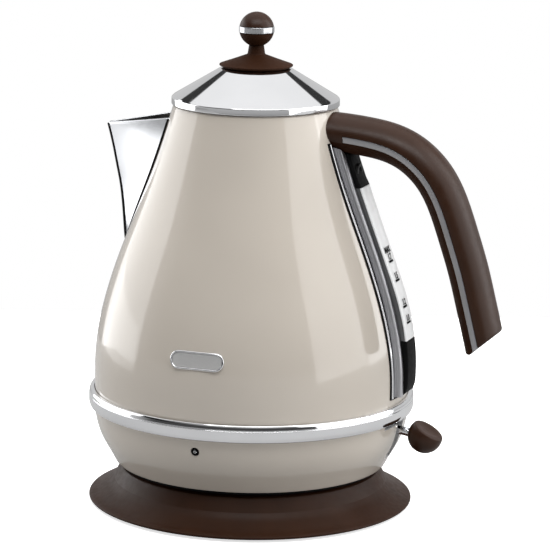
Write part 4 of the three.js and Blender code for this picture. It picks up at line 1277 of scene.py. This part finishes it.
def printed(points, faces, name):
    return new_piece(name, [on_jug(y, z, face_out(z) + INK_PROUD) for y, z in points], faces, ink)


def printed_bar(z, long, tall):
    rows = [[(y, h) for y in np.linspace(-long / 2, long / 2, 7)] for h in (z - tall / 2, z + tall / 2)]
    return printed(rows[0] + rows[1], [(i, i + 1, i + 8, i + 7) for i in range(6)], "bar")


def printed_word(word, z, tall, bold=0.22):
    curve = bpy.data.curves.new("word", "FONT")
    curve.body = word
    curve.size = tall / 0.7
    curve.align_x = "CENTER"
    curve.resolution_u = 3
    curve.offset = bold
    text = put("word", curve)
    bpy.context.view_layer.update()
    mesh = bpy.data.meshes.new_from_object(text)
    points = [(v.co.x, z + v.co.y) for v in mesh.vertices]
    faces = [tuple(p.vertices) for p in mesh.polygons]
    bpy.data.objects.remove(text)
    return printed(points, faces, "word")


def joined(name, pieces):
    mesh = bmesh.new()
    for piece in pieces:
        mesh.from_mesh(piece.data)
    first = pieces[0]
    mesh.to_mesh(first.data)
    mesh.free()
    for piece in pieces[1:]:
        bpy.data.objects.remove(piece)
    first.name = name
    return first


def make_scale_print():
    marks = []
    for z, litres in ((147.2, "1.7"), (136.6, "1.5"), (121.9, "1.2"), (112.9, "1.0")):
        marks += [printed_bar(z, 7.0, 1.2), printed_word(litres, z + 1.1, 3.1)]
    marks += [printed_word("MAX", 152.2, 3.0)]
    settle(joined("scale_print", marks), "jug", "black")


make_scale_print()

# %% [markdown]
# ## Badge and lamp
# The badge is a plain brushed plate in a thin chrome rim. Both bend with the jug, so their
# outlines are drawn flat, as shrinking stadium shapes, and pushed back onto the jug's curve.


# %% Badge
def stadium(long, tall, count=48):
    r = tall / 2
    reach = long / 2 - r
    right = arc((reach, 0), r, -90, 90, count // 2)
    return right + [(-x, -z) for x, z in right]


def badge_row(inset, out, long=31.7, tall=10.2, height=100.7):
    row = []
    for x, z in stadium(long - 2 * inset, tall - 2 * inset):
        z += height
        row.append((x, -math.sqrt(jug_radius(z) ** 2 - x ** 2) - out, z))
    return row


def make_badge():
    rim = [(0, -0.2), (0, 0.9), (0.12, 1.2), (0.35, 1.38), (0.6, 1.42), (0.9, 1.32), (1.1, 1.05),
           (1.2, 0.7), (1.2, -0.2)]
    rows = [badge_row(*p) for p in rim + rim[:1]]
    settle(skin("badge_rim", rows, chrome, caps=False), "jug", "chrome", "badge_frame")
    plate = [(1.25, -0.2), (1.25, 0.7), (1.4, 0.85), (1.7, 0.9), (2.4, 0.92), (3.2, 0.94), (4.0, 0.95),
             (4.6, 0.95), (5.0, 0.95)]
    settle(skin("badge_face", [badge_row(*p) for p in plate], silver), "jug", "steel", "badge_plate")


def make_lamp():
    lean = (skirt_radius(50.3) - skirt_radius(48.3)) / 2
    place, way = (0, -skirt_radius(49.3), 49.3), (0, -1, -lean)
    ring = rounded([(1.35, -4), (2.1, -4), (2.1, 0.5, 0.3), (1.35, 0.5, 0.3)])
    settle(turned_at("lamp_ring", ring, black, way, place), "jug", "black", "lamp_bezel")
    dome = [(0, -4), (1.1, -4), (1.1, 0)] + arc((0, 0), 1.1, 5, 90, 10)
    settle(turned_at("lamp_dome", dome, lens_clear, way, place), "jug", "clear", "lamp_lens")


make_badge()
make_lamp()

# %% [markdown]
# ## The lever
# A ball with a dished flat on top sits on a short chrome stem, and tips down to switch on.


# %% Lever
def make_lever():
    lean = math.radians(31)
    flat, radius = 4.2, 10
    edge = math.degrees(math.asin((flat - 0.6) / radius))
    side = arc((0, 0), radius, -90, edge, 26)
    rim = math.sqrt(radius ** 2 - flat ** 2) + 0.1
    top = rounded([side[-2], (rim, flat, 0.9), (6.5, flat - 0.1, 3), (0, flat - 0.9)], 6, closed=False)
    outline = [(0, -radius)] + side[1:-2] + top
    way = (math.sin(lean), 0, math.cos(lean))
    knob = turned_at("switch_ball", outline, brown, way, (105.5, 0, 47.6), 96)
    cut_away(knob, rod((80, 0, 50.6), (101.5, 0, 47.9), 2.8))
    settle(knob, "lever", "brown", "lever_knob")
    stem = rounded([(0, 0), (2.5, 0, 0.3), (2.5, 14.1), (0, 14.1)])
    settle(turned_at("switch_stem", stem, chrome, (14, 0, -2.05), (87, 0, 50)), "lever", "chrome", "lever_stem")


make_lever()

# %% [markdown]
# ## The scale filter
# A black frame with rounded corners carries a fine steel gauze behind the spout. The gauze
# is woven wire: a small tree takes a flat grid, waves its crossings in and out, and runs a
# thin tube along every edge.


# %% Filter
FILTER_PLACE, FILTER_LEAN = (-55.2, 0, 184), 19.5


def frame_row(inset, out, wide=33, tall=50, corner=3.5, count=6):
    """A rectangle with round corners, standing upright with its face along X."""
    w, t, r = wide / 2 - inset, tall / 2 - inset, max(corner - inset, 0.5)
    row = []
    for sy, sz, first in ((1, 1, 0), (-1, 1, 90), (-1, -1, 180), (1, -1, 270)):
        for a in np.radians(np.linspace(first, first + 90, count)):
            row.append((out, sy * (w - r) + r * math.cos(a), sz * (t - r) + r * math.sin(a)))
    return row


def lean_filter(piece):
    piece.data.transform(Matrix.Translation(Vector((-AXIS_X, 0, 0))))
    turn = Matrix.Rotation(math.radians(FILTER_LEAN), 4, "Y")
    piece.data.transform(Matrix.Translation(Vector(to_frame(FILTER_PLACE))) @ turn)
    return piece


def gauze_tree():
    tree = bpy.data.node_groups.new("woven_gauze", "GeometryNodeTree")
    given = add_sockets(tree, {"Width": "NodeSocketFloat", "Height": "NodeSocketFloat",
                               "Pitch": "NodeSocketFloat", "Wire": "NodeSocketFloat",
                               "Finish": "NodeSocketMaterial"})
    wide, tall, pitch, thick = (given[name] for name in ("Width", "Height", "Pitch", "Wire"))
    grid = wide.node("GeometryNodeMeshGrid", inputs={
        "Size X": wide, "Size Y": tall, "Vertices X": wide / pitch + 1, "Vertices Y": tall / pitch + 1})
    x, y, _ = grid.node("GeometryNodeInputPosition").split()
    turns = x / pitch * math.pi
    wave = turns.maths("SINE", turns) * thick * 0.5
    upright = wave.node("ShaderNodeCombineXYZ", inputs={0: wave, 1: x, 2: y})
    woven = grid.node("GeometryNodeSetPosition", inputs={"Geometry": grid, "Position": upright})
    lines = woven.node("GeometryNodeMeshToCurve", inputs={"Mesh": woven})
    ring = thick.node("GeometryNodeCurvePrimitiveCircle", inputs={"Resolution": 4, "Radius": thick * 0.5})
    tube = lines.node("GeometryNodeCurveToMesh", inputs={"Curve": lines, "Profile Curve": ring})
    close_tree(tube, given["Finish"])
    return tree


def make_filter():
    rim = [(0, -0.9), (0.3, -1.2), (2.6, -1.2), (3, -0.9), (3, 0.9), (2.6, 1.2), (0.3, 1.2), (0, 0.9)]
    frame_skin = lean_filter(skin("filter_rim", [frame_row(*p) for p in rim + rim[:1]], black, caps=False))
    settle(frame_skin, "filter", "black", "filter_frame")
    gauze = run_tree("filter_gauze", gauze_tree(), {"Width": 0.028, "Height": 0.045, "Pitch": 0.0011,
                                                    "Wire": 0.0003, "Finish": steel})
    gauze.data.transform(Matrix.Translation(Vector((AXIS_X, 0, 0))))
    settle(lean_filter(gauze), "filter", "gauze", "filter_mesh")


make_filter()

# %% [markdown]
# ## Pieces that stay as they are
# The inner mechanical pieces have the right shape already: heating element, control unit,
# bracket, pin, yoke and the gauge's seals. They only get a finish, in their own slots.

# %% Finish the rest
KEPT = {"heating_element": steel, "control_unit": black, "handle_bracket": steel, "handle_screw_1": steel,
        "handle_screw_2": steel, "lever_pin": steel, "lever_yoke": black, "knob_screw": steel,
        "gauge_seal_top": rubber, "gauge_seal_bottom": rubber}
for node, finish in KEPT.items():
    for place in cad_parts[node].material_slots:
        place.material = finish
print(len(KEPT), "nodes keep their shape")
